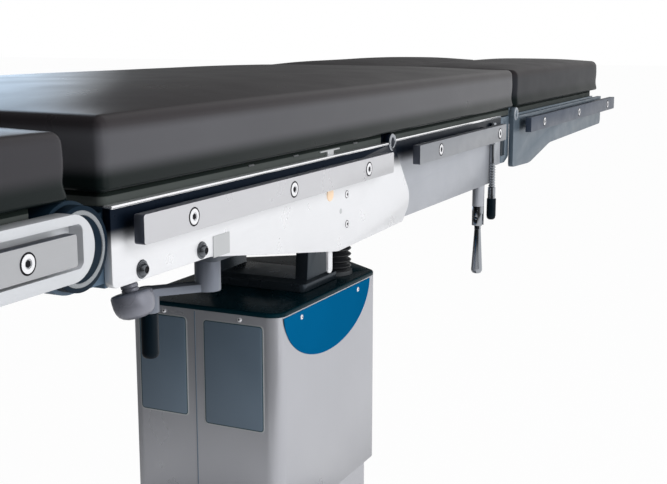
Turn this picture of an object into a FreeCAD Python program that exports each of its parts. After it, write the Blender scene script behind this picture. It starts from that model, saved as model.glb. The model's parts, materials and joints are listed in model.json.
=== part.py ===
"""Mobile operating table: telescopic column, cardan tilt head and a jointed four-section top.

Millimetres, +Z up. The origin is on the floor under the middle of the table. +X points to the
leg end, -X to the head end, and -Y is the right-hand side of a patient who lies on the back.
"""
import FreeCAD, Part
import os

import Sketcher
from FreeCAD import Placement, Rotation, Vector

# Driving dimensions, each written once
SIZES = {
    # heights and shared widths
    "rail_top": 822.0,
    "rail_outer": 280.0,
    "rail_thick": 10.0,
    "rail_height": 25.0,
    "rail_corner": 2.5,
    "spacer_radius": 9.0,
    "plate_rise": 6.0,
    "board_thick": 12.0,
    "pad_side_overhang": 4.0,
    "soft_gap": 0.3,
    "pad_corner": 22.0,
    "pad_round": 9.0,
    "running_play": 0.05,
    # hinges between the sections
    "pivot_x": -144.0,
    "pivot_rise": 7.0,
    "ear_radius": 11.0,
    "pin_radius": 6.0,
    "pin_stand": 1.2,
    "board_gap": 16.0,
    # back section
    "back_length": 585.0,
    "rail_standoff": 12.0,
    "back_plate_thick": 8.0,
    "back_shallow_depth": 61.0,
    "back_shallow_run": 150.0,
    "back_slope_run": 277.0,
    "back_deep_depth": 105.0,
    "back_end_depth": 100.0,
    "back_end_reach": 38.0,
    "back_bulge_reach": 70.0,
    "back_bulge_depth": 74.0,
    "back_bend_radius": 60.0,
    "back_bulge_radius": 22.0,
    "back_end_radius": 10.0,
    "back_rail_start": 15.0,
    "back_rail_length": 524.0,
    "back_spacer_inset": 74.5,
    "back_tab_place": 417.0,
    "back_tab_half": 5.5,
    "back_tab_drop": 24.0,
    "tube_wide": 40.0,
    "tube_high": 28.0,
    "tube_wall": 3.0,
    "back_tube_first": 190.0,
    "back_tube_pitch": 150.0,
    "end_block_long": 135.0,
    "end_block_wide": 50.0,
    "end_block_shelf": 27.0,
    "back_pad_overhang": 5.0,
    "back_pad_thick": 56.7,
    # head section and its hinge
    "head_axis_reach": 42.0,
    "head_axis_drop": 20.0,
    "lug_radius": 37.0,
    "lug_clearance": 1.0,
    "lug_thick": 34.0,
    "trunnion_radius": 12.0,
    "boss_radius": 34.0,
    "boss_gap": 0.3,
    "head_arm_step": 5.0,
    "head_arm_gap": 0.5,
    "head_arm_radius": 26.0,
    "head_arm_drop": 14.0,
    "head_arm_set_back": 27.0,
    "head_arm_length": 242.0,
    "head_arm_tip_radius": 18.0,
    "head_rail_standoff": 8.0,
    "head_recess_high": 34.0,
    "head_recess_start": 12.0,
    "head_rail_set_back": 28.0,
    "head_rail_length": 232.0,
    "head_rail_drop": 1.5,
    "head_spacer_inset": 55.0,
    "head_flange_wide": 18.0,
    "head_flange_thick": 10.0,
    "head_board_set_back": 45.0,
    "head_board_length": 252.0,
    "head_pad_set_back": 5.0,
    "head_pad_length": 300.0,
    "head_pad_thick": 47.7,
    # crank and lock knob under the head end
    "crank_run": 240.0,
    "crank_inset": 52.0,
    "gearbox_half": 22.0,
    "gearbox_top_drop": 30.0,
    "gearbox_bottom_drop": 82.7,
    "crank_hub_radius": 13.5,
    "crank_hub_bottom_drop": 117.0,
    "crank_arm_thick": 8.0,
    "crank_reach_x": 48.0,
    "crank_reach_y": 40.0,
    "crank_stub_radius": 10.5,
    "crank_stub_bottom_drop": 134.0,
    "grip_radius": 9.0,
    "grip_length": 48.0,
    "grip_spindle_radius": 4.0,
    "knob_run": 94.0,
    "knob_inset": 50.0,
    "knob_radius": 19.5,
    "knob_height": 25.0,
    "knob_stem_radius": 5.0,
    "knob_collar_radius": 8.0,
    "knob_stem_length": 26.0,
    # seat section
    "seat_length": 540.0,
    "plate_gap": 0.5,
    "seat_plate_thick": 6.5,
    "seat_plate_start": 11.0,
    "seat_deep_depth": 98.0,
    "seat_deep_back": 92.0,
    "seat_narrow_depth": 72.0,
    "seat_narrow_back": 56.0,
    "seat_rail_start": 42.0,
    "seat_rail_back": 124.0,
    "seat_spacer_inset": 78.0,
    "seat_spacer_back": 32.0,
    "pivot_beam_start": 16.0,
    "pivot_beam_wide": 30.0,
    "pivot_beam_depth": 44.0,
    "leg_beam_back": 104.0,
    "leg_beam_wide": 42.0,
    "leg_beam_depth": 64.0,
    "seat_pad_overhang": 10.0,
    "seat_pad_thick": 56.7,
    "fold_half_low": 10.7,
    "fold_half_high": 54.0,
    # leg sections
    "yaw_axis_back": 44.0,
    "yaw_axis_inset": 4.5,
    "yaw_radius": 11.0,
    "yaw_pin_radius": 6.0,
    "yaw_top_rise": 4.0,
    "yaw_lug_top_drop": 12.3,
    "yaw_lug_bottom_drop": 59.7,
    "yaw_bottom_drop": 72.0,
    "yaw_gap": 0.3,
    "knuckle_start": 12.5,
    "knuckle_set_back": 10.0,
    "leg_plate_thick": 8.0,
    "leg_plate_back": 10.8,
    "leg_plate_drop": 82.0,
    "leg_neck_run": 92.0,
    "leg_neck_drop": 85.0,
    "leg_neck_radius": 130.0,
    "leg_waist_run": 225.0,
    "leg_waist_drop": 61.0,
    "leg_plate_length": 645.0,
    "leg_tip_drop": 56.0,
    "leg_plate_rise": 3.0,
    "leg_rail_start": 19.0,
    "leg_rail_overrun": 35.0,
    "leg_spacer_first": 85.0,
    "leg_spacer_last": 66.0,
    "leg_flange_wide": 54.0,
    "leg_flange_thick": 8.0,
    "leg_flange_start": 20.0,
    "leg_rib_reach": 46.0,
    "leg_rib_wide": 24.0,
    "leg_gap_half": 15.0,
    "leg_board_start": 12.5,
    "leg_board_length": 590.0,
    "leg_pad_start": 5.0,
    "leg_pad_length": 605.0,
    "leg_pad_thick": 51.7,
    # clamp lever and release rod of each leg section
    "clamp_back": 135.0,
    "clamp_radius": 9.5,
    "clamp_boss_top": 60.0,
    "clamp_boss_bottom": 132.0,
    "clamp_body_bottom": 163.0,
    "clamp_pin_drop": 151.0,
    "clamp_slot_half": 4.2,
    "clamp_tongue_half": 4.0,
    "clamp_tongue_radius": 5.5,
    "clamp_pin_radius": 2.5,
    "clamp_cone_top": 168.5,
    "clamp_cone_bottom": 242.0,
    "clamp_cone_small": 5.0,
    "clamp_cone_large": 9.0,
    "rod_back": 110.0,
    "rod_stand": 4.5,
    "rod_radius": 3.0,
    "rod_guide_half": 6.0,
    "rod_guide_top": 16.0,
    "rod_guide_bottom": 34.0,
    "rod_collar_radius": 5.5,
    "rod_collar_top": 107.0,
    "rod_grip_top": 122.0,
    "rod_grip_bottom": 157.0,
    "rod_grip_radius": 7.5,
    # column and its covers
    "column_x": 7.0,
    "cap_top": 600.0,
    "cover_back": 199.0,
    "cover_half": 120.0,
    "cover_shoulder": 116.0,
    "cover_chamfer_x": 185.0,
    "cover_chamfer_half": 28.0,
    "cover_nose": 199.0,
    "cover_wall": 2.0,
    "cover_step": 12.0,
    "cover_corner": 22.0,
    "cap_thick": 6.0,
    "cap_skirt": 10.0,
    "cap_round": 3.0,
    "upper_cover_length": 303.0,
    "middle_cover_low": 210.0,
    "middle_cover_length": 310.0,
    "lower_cover_top": 450.0,
    "wiper_high": 12.0,
    "wiper_gap": 0.3,
    "ram_radius": 40.0,
    "ram_bottom": 240.0,
    "cylinder_radius": 55.0,
    "cylinder_top": 455.0,
    "ram_hole_gap": 1.0,
    # cardan head
    "cardan_rise": 100.0,
    "head_flange_x": 72.0,
    "head_flange_y": 92.0,
    "head_flange_high": 12.0,
    "cheek_half": 34.0,
    "cheek_inner": 62.0,
    "cheek_outer": 82.0,
    "journal_radius": 20.0,
    "cross_half_x": 44.0,
    "cross_half_y": 60.0,
    "cross_half_z": 30.0,
    "cross_round": 8.0,
    "journal_end_y": 86.0,
    "root_boss_radius": 28.0,
    "root_boss_end": 86.0,
    "journal_end_x": 114.0,
    "outrigger_near": 58.0,
    "outrigger_reach": 94.0,
    "outrigger_top": 8.0,
    "outrigger_bottom": 28.0,
    "hanger_near": 88.0,
    "hanger_far": 110.0,
    "hanger_radius": 33.0,
    "hanger_waist_half": 72.0,
    "hanger_flat_half": 130.0,
    "hanger_waist_rise": 48.0,
    "hanger_edge_rise": 90.0,
    "actuator_radius": 22.0,
    "actuator_flange_radius": 28.5,
    "actuator_flange_high": 6.0,
    "actuator_place_x": 72.0,
    "actuator_place_y": 70.0,
    "tilt_place_x": 97.0,
    "tilt_place_y": 101.0,
    "tilt_outrigger_reach_x": 122.0,
    "tilt_outrigger_inner": 60.0,
    "tilt_outrigger_outer": 126.0,
    "trend_actuator_depth": 130.0,
    "tilt_actuator_depth": 22.0,
    "bellows_radius": 27.0,
    "bellows_root": 21.0,
    "bellows_pitch": 8.5,
    # base
    "base_head_end": 470.0,
    "base_leg_end": 330.0,
    "base_half": 250.0,
    "base_corner": 60.0,
    "base_wall": 2.0,
    "base_skirt_low": 24.0,
    "chassis_low": 92.0,
    "chassis_thick": 14.0,
    "chassis_inset": 6.0,
    "cover_roof_thick": 2.0,
    "plinth_high": 38.0,
    "plinth_margin": 26.0,
    "plinth_gap": 1.0,
    "foot_x": 220.0,
    "foot_x_middle": -70.0,
    "foot_y": 205.0,
    "foot_radius": 24.0,
    "foot_high": 16.0,
    "foot_stem_radius": 9.0,
    "castor_inset_x": 67.0,
    "castor_y": 184.0,
    "castor_trail": 20.0,
    "castor_lift": 4.0,
    "wheel_radius": 36.0,
    "wheel_half": 6.0,
    "wheel_space": 9.0,
    "castor_axle_radius": 4.0,
    "castor_neck_radius": 14.0,
    "castor_web_half": 2.4,
}

# How much each corner of the column's outline moves along X and Y for a step inwards of one
SHOULDER_MITRE = 0.5
CHAMFER_MITRE_X = 0.86
CHAMFER_MITRE_Y = 0.54
NOSE_MITRE = 1.12
# How far the lock knob leans outwards, in degrees, and the rise of its rim for each millimetre
KNOB_LEAN = 16.0
KNOB_RIM_RISE = 0.28

doc = FreeCAD.newDocument("operating_table")
sheet = doc.addObject("Spreadsheet::Sheet", "Sizes")


class Size:
    """A length that keeps its number beside the sheet expression that gives it."""

    def __init__(self, number, text):
        self.number = float(number)
        self.text = text

    @staticmethod
    def of(value):
        if isinstance(value, Size):
            return value
        return Size(value, repr(float(value)))

    def join(self, other, sign, number):
        return Size(number, f"({self.text} {sign} {other.text})")

    def __add__(self, other):
        other = Size.of(other)
        return self.join(other, "+", self.number + other.number)

    def __sub__(self, other):
        other = Size.of(other)
        return self.join(other, "-", self.number - other.number)

    def __mul__(self, other):
        other = Size.of(other)
        return self.join(other, "*", self.number * other.number)

    def __truediv__(self, other):
        other = Size.of(other)
        return self.join(other, "/", self.number / other.number)

    def __radd__(self, other):
        return Size.of(other) + self

    def __rsub__(self, other):
        return Size.of(other) - self

    def __rmul__(self, other):
        return Size.of(other) * self

    def __neg__(self):
        return Size(-self.number, f"(0 - {self.text})")


class Sheet:
    """The driving dimensions as attributes."""

    def __init__(self, sizes):
        for row, (name, number) in enumerate(sizes.items(), start=1):
            sheet.set(f"A{row}", name)
            sheet.set(f"B{row}", str(number))
            sheet.setAlias(f"B{row}", name)
            setattr(self, name, Size(number, f"Sizes.{name}"))


S = Sheet(SIZES)
doc.recompute()


# Helpers for sketches, features and places
def bind(thing, path, value):
    """Tie a property of a document object to a sheet expression."""
    thing.setExpression(path, Size.of(value).text)


def origin_plane(body, role):
    return next(f for f in body.Origin.OriginFeatures if f.Role == role)


def sketch_on(body, name, role, offset=0.0):
    """A sketch on one of the body's own planes, moved along that plane's normal."""
    sketch = body.newObject("Sketcher::SketchObject", name)
    sketch.AttachmentSupport = [(origin_plane(body, role), "")]
    sketch.MapMode = "FlatFace"
    bind(sketch, "AttachmentOffset.Base.z", offset)
    return sketch


def fix_point(sketch, index, point, u, v):
    """Hold one point of a sketch at sheet-driven coordinates."""
    for kind, size, axis in (("DistanceX", Size.of(u), -2), ("DistanceY", Size.of(v), -1)):
        if abs(size.number) < 1e-9:
            sketch.addConstraint(Sketcher.Constraint("PointOnObject", index, point, axis))
        else:
            place = sketch.addConstraint(
                Sketcher.Constraint(kind, -1, 1, index, point, size.number)
            )
            bind(sketch, f"Constraints[{place}]", size)


def draw_outline(sketch, points):
    """A closed outline of straight sides, corner by corner."""
    first = sketch.GeometryCount
    count = len(points)
    numbers = [(Size.of(u).number, Size.of(v).number) for u, v in points]
    for n in range(count):
        start, end = numbers[n], numbers[(n + 1) % count]
        sketch.addGeometry(Part.LineSegment(Vector(*start, 0), Vector(*end, 0)), False)
    for n in range(count):
        following = first + (n + 1) % count
        sketch.addConstraint(Sketcher.Constraint("Coincident", first + n, 2, following, 1))
    for n, (u, v) in enumerate(points):
        fix_point(sketch, first + n, 1, u, v)


def draw_circle(sketch, u, v, radius):
    centre = Vector(Size.of(u).number, Size.of(v).number, 0)
    size = Size.of(radius)
    index = sketch.addGeometry(Part.Circle(centre, Vector(0, 0, 1), size.number), False)
    fix_point(sketch, index, 3, u, v)
    place = sketch.addConstraint(Sketcher.Constraint("Radius", index, size.number))
    bind(sketch, f"Constraints[{place}]", size)


def extrude(body, name, sketch, length, kind="PartDesign::Pad", reverse=False, middle=False):
    feature = body.newObject(kind, name)
    feature.Profile = sketch
    feature.Reversed = reverse
    if middle:
        feature.SideType = "Symmetric"
    bind(feature, "Length", length)
    sketch.Visibility = False
    return feature


def new_body(name):
    return doc.addObject("PartDesign::Body", name)


def across(body, name, points, inner, outer, kind="PartDesign::Pad"):
    """A side-view outline given thickness from inner to outer on the -Y side."""
    sketch = sketch_on(body, name + "_sketch", "XZ_Plane", inner)
    draw_outline(sketch, points)
    return extrude(body, name, sketch, outer - inner, kind, kind == "PartDesign::Pocket")


def across_round(body, name, x, z, radius, inner, outer, kind="PartDesign::Pad"):
    """A disc or bore along Y from inner to outer on the -Y side."""
    sketch = sketch_on(body, name + "_sketch", "XZ_Plane", inner)
    draw_circle(sketch, x, z, radius)
    return extrude(body, name, sketch, outer - inner, kind, kind == "PartDesign::Pocket")


def upright(body, name, points, low, high, kind="PartDesign::Pad"):
    """A plan outline raised from low to high."""
    sketch = sketch_on(body, name + "_sketch", "XY_Plane", low)
    draw_outline(sketch, points)
    return extrude(body, name, sketch, high - low, kind, kind == "PartDesign::Pocket")


def upright_round(body, name, x, y, radius, low, high, kind="PartDesign::Pad"):
    sketch = sketch_on(body, name + "_sketch", "XY_Plane", low)
    draw_circle(sketch, x, y, radius)
    return extrude(body, name, sketch, high - low, kind, kind == "PartDesign::Pocket")


def rectangle(x_low, x_high, y_low, y_high):
    return [(x_low, y_low), (x_high, y_low), (x_high, y_high), (x_low, y_high)]


def named_edges(shape, test):
    return [f"Edge{n + 1}" for n, edge in enumerate(shape.Edges) if test(edge)]


def is_straight(edge, direction):
    if edge.Curve.TypeId != "Part::GeomLine":
        return False
    return abs(edge.Curve.Direction.dot(direction)) > 0.9999


def round_edges(body, name, test, radius, kind="PartDesign::Fillet"):
    """Fillet or chamfer the edges of the body's last feature that pass a test."""
    doc.recompute()
    base = body.Tip
    names = named_edges(base.Shape, test)
    if not names:
        raise RuntimeError(f"{body.Name}: no edge found for {name}")
    feature = body.newObject(kind, name)
    feature.Base = (base, names)
    bind(feature, "Size" if kind.endswith("Chamfer") else "Radius", radius)
    return feature


def round_corners(body, name, direction, points, radius):
    """Fillet the straight edges along a direction that pass through the given points."""
    spots = [Vector(*(Size.of(c).number for c in point)) for point in points]

    def test(edge):
        if not is_straight(edge, direction):
            return False
        start = edge.Vertexes[0].Point
        return any((spot - start).cross(direction).Length < 1e-3 for spot in spots)

    return round_edges(body, name, test, radius)


ALONG_X = Vector(1, 0, 0)
ALONG_Y = Vector(0, 1, 0)
ALONG_Z = Vector(0, 0, 1)


def side_corners(points, picked):
    """Points of a side-view outline as places in space."""
    return [(points[n][0], 0, points[n][1]) for n in picked]


def plan_corners(points, picked):
    return [(points[n][0], points[n][1], 0) for n in picked]


def revolve(body, name, points, kind="PartDesign::Revolution"):
    """Turn an outline of radius and height about the body's own Z axis."""
    sketch = sketch_on(body, name + "_sketch", "XZ_Plane")
    draw_outline(sketch, points)
    feature = body.newObject(kind, name)
    feature.Profile = sketch
    feature.ReferenceAxis = (sketch, ["V_Axis"])
    feature.Angle = 360
    sketch.Visibility = False
    return feature


def place(thing, x=0.0, y=0.0, z=0.0, rotation=None):
    """Put a finished object where sheet expressions say."""
    if rotation:
        thing.Placement = Placement(Vector(), rotation)
    for path, value in (("x", x), ("y", y), ("z", z)):
        bind(thing, f"Placement.Base.{path}", value)
    return thing


def mirror(source, name):
    """The matching piece on the +Y side."""
    copy = doc.addObject("Part::Mirroring", name)
    copy.Source = source
    copy.Base = Vector(0, 0, 0)
    copy.Normal = ALONG_Y
    return copy


def join(name, *pieces):
    fused = doc.addObject("Part::MultiFuse", name)
    fused.Shapes = list(pieces)
    return fused


def group(name, *pieces):
    """Separate solids that share one node."""
    together = doc.addObject("Part::Compound", name)
    together.Links = list(pieces)
    return together


KEPT = {}


def keep(node, thing):
    """Record the finished sub-part under its node name."""
    thing.Label = node
    KEPT[node] = thing
    return thing


def keep_pair(node, right):
    """The right-hand piece and its mirrored twin."""
    keep(node + "_right", right)
    keep(node + "_left", mirror(right, node + "_left_mirror"))


# Places that several pieces share
rail_bottom = S.rail_top - S.rail_height
rail_middle = S.rail_top - S.rail_height / 2
rail_inner = S.rail_outer - S.rail_thick
frame_top = S.rail_top + S.plate_rise
board_top = frame_top + S.board_thick
pad_bottom = board_top + S.soft_gap
pivot_z = S.rail_top + S.pivot_rise
back_plate_outer = rail_inner - S.rail_standoff
back_plate_inner = back_plate_outer - S.back_plate_thick
board_half = back_plate_inner
pad_half = board_half + S.pad_side_overhang
back_edge = S.pivot_x - S.back_length
seat_plate_outer = back_plate_inner - S.plate_gap
seat_plate_inner = seat_plate_outer - S.seat_plate_thick
lug_outer = back_plate_inner - S.lug_clearance
lug_inner = lug_outer - S.lug_thick
leg_pivot_x = S.pivot_x + S.seat_length
yaw_x = leg_pivot_x - S.yaw_axis_back
yaw_half = seat_plate_inner - S.yaw_axis_inset
clamp_x = leg_pivot_x - S.clamp_back
clamp_half = seat_plate_outer - S.clamp_radius
rod_x = leg_pivot_x - S.rod_back
rod_half = seat_plate_outer + S.rod_stand
head_axis_x = back_edge - S.head_axis_reach
head_axis_z = S.rail_top - S.head_axis_drop
cardan_z = S.cap_top + S.cardan_rise


def accessory_rail(name, start, length, spacers, spacer_inner, top=None):
    """A standard side rail for clamps, with the round spacers that hold it off the frame."""
    top = S.rail_top if top is None else top
    bar = new_body(name + "_bar")
    points = rectangle(start, start + length, top - S.rail_height, top)
    across(bar, "bar", points, rail_inner, S.rail_outer)
    round_corners(bar, "ends", ALONG_Y, side_corners(points, range(4)), S.rail_corner)
    sketch = sketch_on(bar, "spacer_sketch", "XZ_Plane", spacer_inner)
    for x in spacers:
        draw_circle(sketch, x, top - S.rail_height / 2, S.spacer_radius)
    extrude(bar, "spacers", sketch, rail_inner - spacer_inner)
    return bar


def cushion(name, points, thick, corners):
    """A pad: a plan outline with rounded corners and a rounded upper edge."""
    pad = new_body(name + "_block")
    upright(pad, "block", points, pad_bottom, pad_bottom + thick)
    round_corners(pad, "corners", ALONG_Z, plan_corners(points, corners), S.pad_corner)
    doc.recompute()
    height = (pad_bottom + thick).number

    def on_top(edge):
        return all(abs(v.Point.z - height) < 1e-3 for v in edge.Vertexes)

    round_edges(pad, "upper_edge", on_top, S.pad_round)
    return pad


# Back section: side plates, cross tubes, end block, rails, board and pad
def build_back_section():
    plate = new_body("back_plate_body")
    slope_end = back_edge + S.back_shallow_run + S.back_slope_run
    points = [
        (back_edge, frame_top),
        (back_edge, S.rail_top - S.back_shallow_depth),
        (back_edge + S.back_shallow_run, S.rail_top - S.back_shallow_depth),
        (slope_end, S.rail_top - S.back_deep_depth),
        (S.pivot_x + S.back_end_reach, S.rail_top - S.back_end_depth),
        (S.pivot_x + S.back_bulge_reach, S.rail_top - S.back_bulge_depth),
        (S.pivot_x + S.pin_radius, frame_top),
    ]
    across(plate, "side", points, back_plate_inner, back_plate_outer)
    round_corners(plate, "head_corner", ALONG_Y, side_corners(points, [1]), 6)
    round_corners(plate, "long_bend", ALONG_Y, side_corners(points, [2, 3]), S.back_bend_radius)
    round_corners(plate, "end_bend", ALONG_Y, side_corners(points, [4]), S.back_end_radius)
    round_corners(plate, "bulge", ALONG_Y, side_corners(points, [5]), S.back_bulge_radius)
    across_round(plate, "ear", S.pivot_x, pivot_z, S.ear_radius, back_plate_inner, back_plate_outer)
    tab_x = back_edge + S.back_tab_place
    tab_top = S.rail_top - S.back_deep_depth + 6
    tab = rectangle(
        tab_x - S.back_tab_half,
        tab_x + S.back_tab_half,
        S.rail_top - S.back_deep_depth - S.back_tab_drop,
        tab_top,
    )
    across(plate, "tab", tab, back_plate_inner, back_plate_inner + 3)
    round_corners(plate, "tab_end", ALONG_Y, side_corners(tab, [0, 1]), S.back_tab_half - 0.2)
    across_round(
        plate, "pivot_bore", S.pivot_x, pivot_z, S.pin_radius + S.running_play,
        board_half - 10, back_plate_outer + 10, "PartDesign::Pocket",
    )
    keep_pair("back_side_plate", plate)

    tubes = []
    for n in range(3):
        tube = new_body(f"back_tube_{n}")
        x_low = back_edge + S.back_tube_first + S.back_tube_pitch * n
        x_high = x_low + S.tube_wide
        sketch = sketch_on(tube, "tube_sketch", "XZ_Plane", -back_plate_inner)
        draw_outline(sketch, rectangle(x_low, x_high, frame_top - S.tube_high, frame_top))
        draw_outline(
            sketch,
            rectangle(
                x_low + S.tube_wall, x_high - S.tube_wall,
                frame_top - S.tube_high + S.tube_wall, frame_top - S.tube_wall,
            ),
        )
        extrude(tube, "tube", sketch, back_plate_inner * 2)
        tubes.append(tube)

    block = new_body("back_end_block_body")
    low = S.rail_top - S.back_shallow_depth
    shelf = low + S.end_block_shelf
    points = [
        (back_edge, low),
        (back_edge + S.end_block_long, low),
        (back_edge + S.end_block_long, shelf),
        (back_edge + S.end_block_wide, shelf),
        (back_edge + S.end_block_wide, frame_top),
        (back_edge, frame_top),
    ]
    across(block, "beam", points, -back_plate_inner, back_plate_inner)
    round_corners(block, "inner_bend", ALONG_Y, side_corners(points, [3]), 12)
    web = rectangle(head_axis_x, back_edge + 1, low + 4, frame_top - 4)
    for side, inner, outer in (("right", lug_inner, lug_outer), ("left", -lug_outer, -lug_inner)):
        across(block, f"web_{side}", web, inner, outer)
        across_round(block, f"lug_{side}", head_axis_x, head_axis_z, S.lug_radius, inner, outer)
    bore = sketch_on(block, "hinge_bore_sketch", "XZ_Plane", lug_outer + 1)
    draw_circle(bore, head_axis_x, head_axis_z, S.trunnion_radius + S.running_play)
    extrude(block, "hinge_bore", bore, lug_outer * 2 + 2, "PartDesign::Pocket")
    keep("back_cross_members", group("back_cross_member_group", block, *tubes))

    start = back_edge + S.back_rail_start
    spacers = [
        start + S.back_spacer_inset,
        start + S.back_rail_length / 2,
        start + S.back_rail_length - S.back_spacer_inset,
    ]
    rail = accessory_rail("back_rail", start, S.back_rail_length, spacers, back_plate_outer)
    keep("back_rails", group("back_rail_group", rail, mirror(rail, "back_rail_mirror")))

    board = new_body("back_board_body")
    points = rectangle(
        back_edge + 2, S.pivot_x - S.board_gap, -board_half, board_half
    )
    upright(board, "sheet", points, frame_top, board_top)
    round_corners(board, "corners", ALONG_Z, plan_corners(points, [0, 3]), 8)
    keep("back_board", board)


def pad_with_slope(name, far_x, near_low, near_high, thick, node):
    """A pad whose end towards the fold slopes away from it."""
    body = new_body(name + "_body")
    top = pad_bottom + thick
    points = [(far_x, pad_bottom), (near_low, pad_bottom), (near_high, top), (far_x, top)]
    across(body, "block", points, -pad_half, pad_half)
    round_corners(
        body, "corners", ALONG_Z,
        [(far_x, pad_half, 0), (far_x, -pad_half, 0)], S.pad_corner,
    )
    height = top.number
    sloped = near_high.number

    def on_top(edge):
        points = [v.Point for v in edge.Vertexes]
        flat = all(abs(p.z - height) < 1e-3 for p in points)
        return flat and not all(abs(p.x - sloped) < 1e-3 for p in points)

    round_edges(body, "upper_edge", on_top, S.pad_round)
    keep(node, body)


def build_main_pads():
    low, high = S.fold_half_low, S.fold_half_high
    pad_with_slope(
        "back_pad", back_edge + S.back_pad_overhang, S.pivot_x - low, S.pivot_x - high,
        S.back_pad_thick, "back_pad",
    )
    pad_with_slope(
        "seat_pad", leg_pivot_x - S.seat_pad_overhang, S.pivot_x + low, S.pivot_x + high,
        S.seat_pad_thick, "seat_pad",
    )
    fold = new_body("mattress_fold_body")
    top = pad_bottom + S.back_pad_thick
    gap = S.soft_gap
    points = [
        (S.pivot_x - low + gap, pad_bottom),
        (S.pivot_x + low - gap, pad_bottom),
        (S.pivot_x + high - gap, top),
        (S.pivot_x - high + gap, top),
    ]
    across(fold, "wedge", points, -pad_half, pad_half)

    def long_upper(edge):
        return is_straight(edge, ALONG_X) and abs(edge.Vertexes[0].Point.z - top.number) < 1e-3

    round_edges(fold, "upper_edge", long_upper, S.pad_round)
    keep("mattress_fold", fold)


# Crank under the back section, which raises and lowers the head section
def build_crank():
    x = back_edge + S.crank_run
    y = S.crank_inset - back_plate_inner
    top = S.rail_top - S.gearbox_top_drop
    low = S.rail_top - S.gearbox_bottom_drop
    box = new_body("crank_gearbox_body")
    plan = rectangle(x - S.gearbox_half, x + S.gearbox_half, y - S.gearbox_half, y + S.gearbox_half)
    upright(box, "housing", plan, low, top)
    round_corners(box, "housing_corners", ALONG_Z, plan_corners(plan, range(4)), 7)
    bracket = rectangle(
        x - S.gearbox_half + 4, x + S.gearbox_half - 4, -back_plate_inner, y
    )
    upright(box, "bracket", bracket, top - 22, top)
    upright_round(
        box, "shaft_bore", x, y, S.grip_spindle_radius * 2 + S.running_play,
        low, low + 20, "PartDesign::Pocket",
    )
    keep("crank_gearbox", box)

    arm = new_body("crank_arm_body")
    gap = 0.3
    hub_low = S.rail_top - S.crank_hub_bottom_drop
    upright_round(arm, "hub", x, y, S.crank_hub_radius, hub_low, low - gap)
    upright_round(arm, "shaft", x, y, S.grip_spindle_radius * 2, low - gap - 1, low + 18)
    end_x, end_y = x - S.crank_reach_x, y + S.crank_reach_y
    stub_low = S.rail_top - S.crank_stub_bottom_drop
    upright_round(
        arm, "stub", end_x, end_y, S.crank_stub_radius, stub_low, hub_low + S.crank_arm_thick
    )
    # the bar's sides run square to the line between the two centres
    reach = (S.crank_reach_x.number ** 2 + S.crank_reach_y.number ** 2) ** 0.5
    across_x = S.crank_reach_y * (9.0 / reach)
    across_y = S.crank_reach_x * (9.0 / reach)
    bar = [
        (x + across_x, y + across_y),
        (x - across_x, y - across_y),
        (end_x - across_x, end_y - across_y),
        (end_x + across_x, end_y + across_y),
    ]
    upright(arm, "bar", bar, hub_low, hub_low + S.crank_arm_thick)
    upright_round(
        arm, "spindle", end_x, end_y, S.grip_spindle_radius,
        stub_low - S.grip_length + 6, stub_low + 1,
    )
    keep("crank_arm", arm)

    grip = new_body("crank_grip_body")
    bore_radius = S.grip_spindle_radius + S.running_play
    points = [
        (bore_radius, 0.0),
        (S.grip_radius - 1, 0.0),
        (S.grip_radius, -3.0),
        (S.grip_radius, -S.grip_length + 6),
        (S.grip_radius - 3, -S.grip_length),
        (0.0, -S.grip_length),
        (0.0, -S.grip_length + 5),
        (bore_radius, -S.grip_length + 5),
    ]
    revolve(grip, "sleeve", points)
    place(grip, end_x, end_y, stub_low - 0.3)
    keep("crank_grip", grip)

    knob = new_body("lock_knob_body")
    underside = -S.knob_stem_length
    points = [
        (0.0, 0.0 - S.soft_gap),
        (S.knob_stem_radius, 0.0 - S.soft_gap),
        (S.knob_stem_radius, underside + 12),
        (S.knob_collar_radius, underside + 10),
        (S.knob_collar_radius, underside),
        (S.knob_radius - 2, underside),
        (S.knob_radius, underside - 4),
        (S.knob_radius, underside - S.knob_height + 11),
        (S.knob_radius - 6, underside - S.knob_height + 2),
        (S.knob_radius - 11, underside - S.knob_height),
        (0.0, underside - S.knob_height),
    ]
    revolve(knob, "turned", points)
    # the knob leans outwards, so its stem stands lower by the rise of its rim
    place(
        knob, back_edge + S.knob_run, S.knob_inset - back_plate_inner,
        S.rail_top - S.back_shallow_depth - S.knob_stem_radius * KNOB_RIM_RISE,
        Rotation(Vector(1, 0, 0), -KNOB_LEAN),
    )
    keep("lock_knob", knob)


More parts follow.
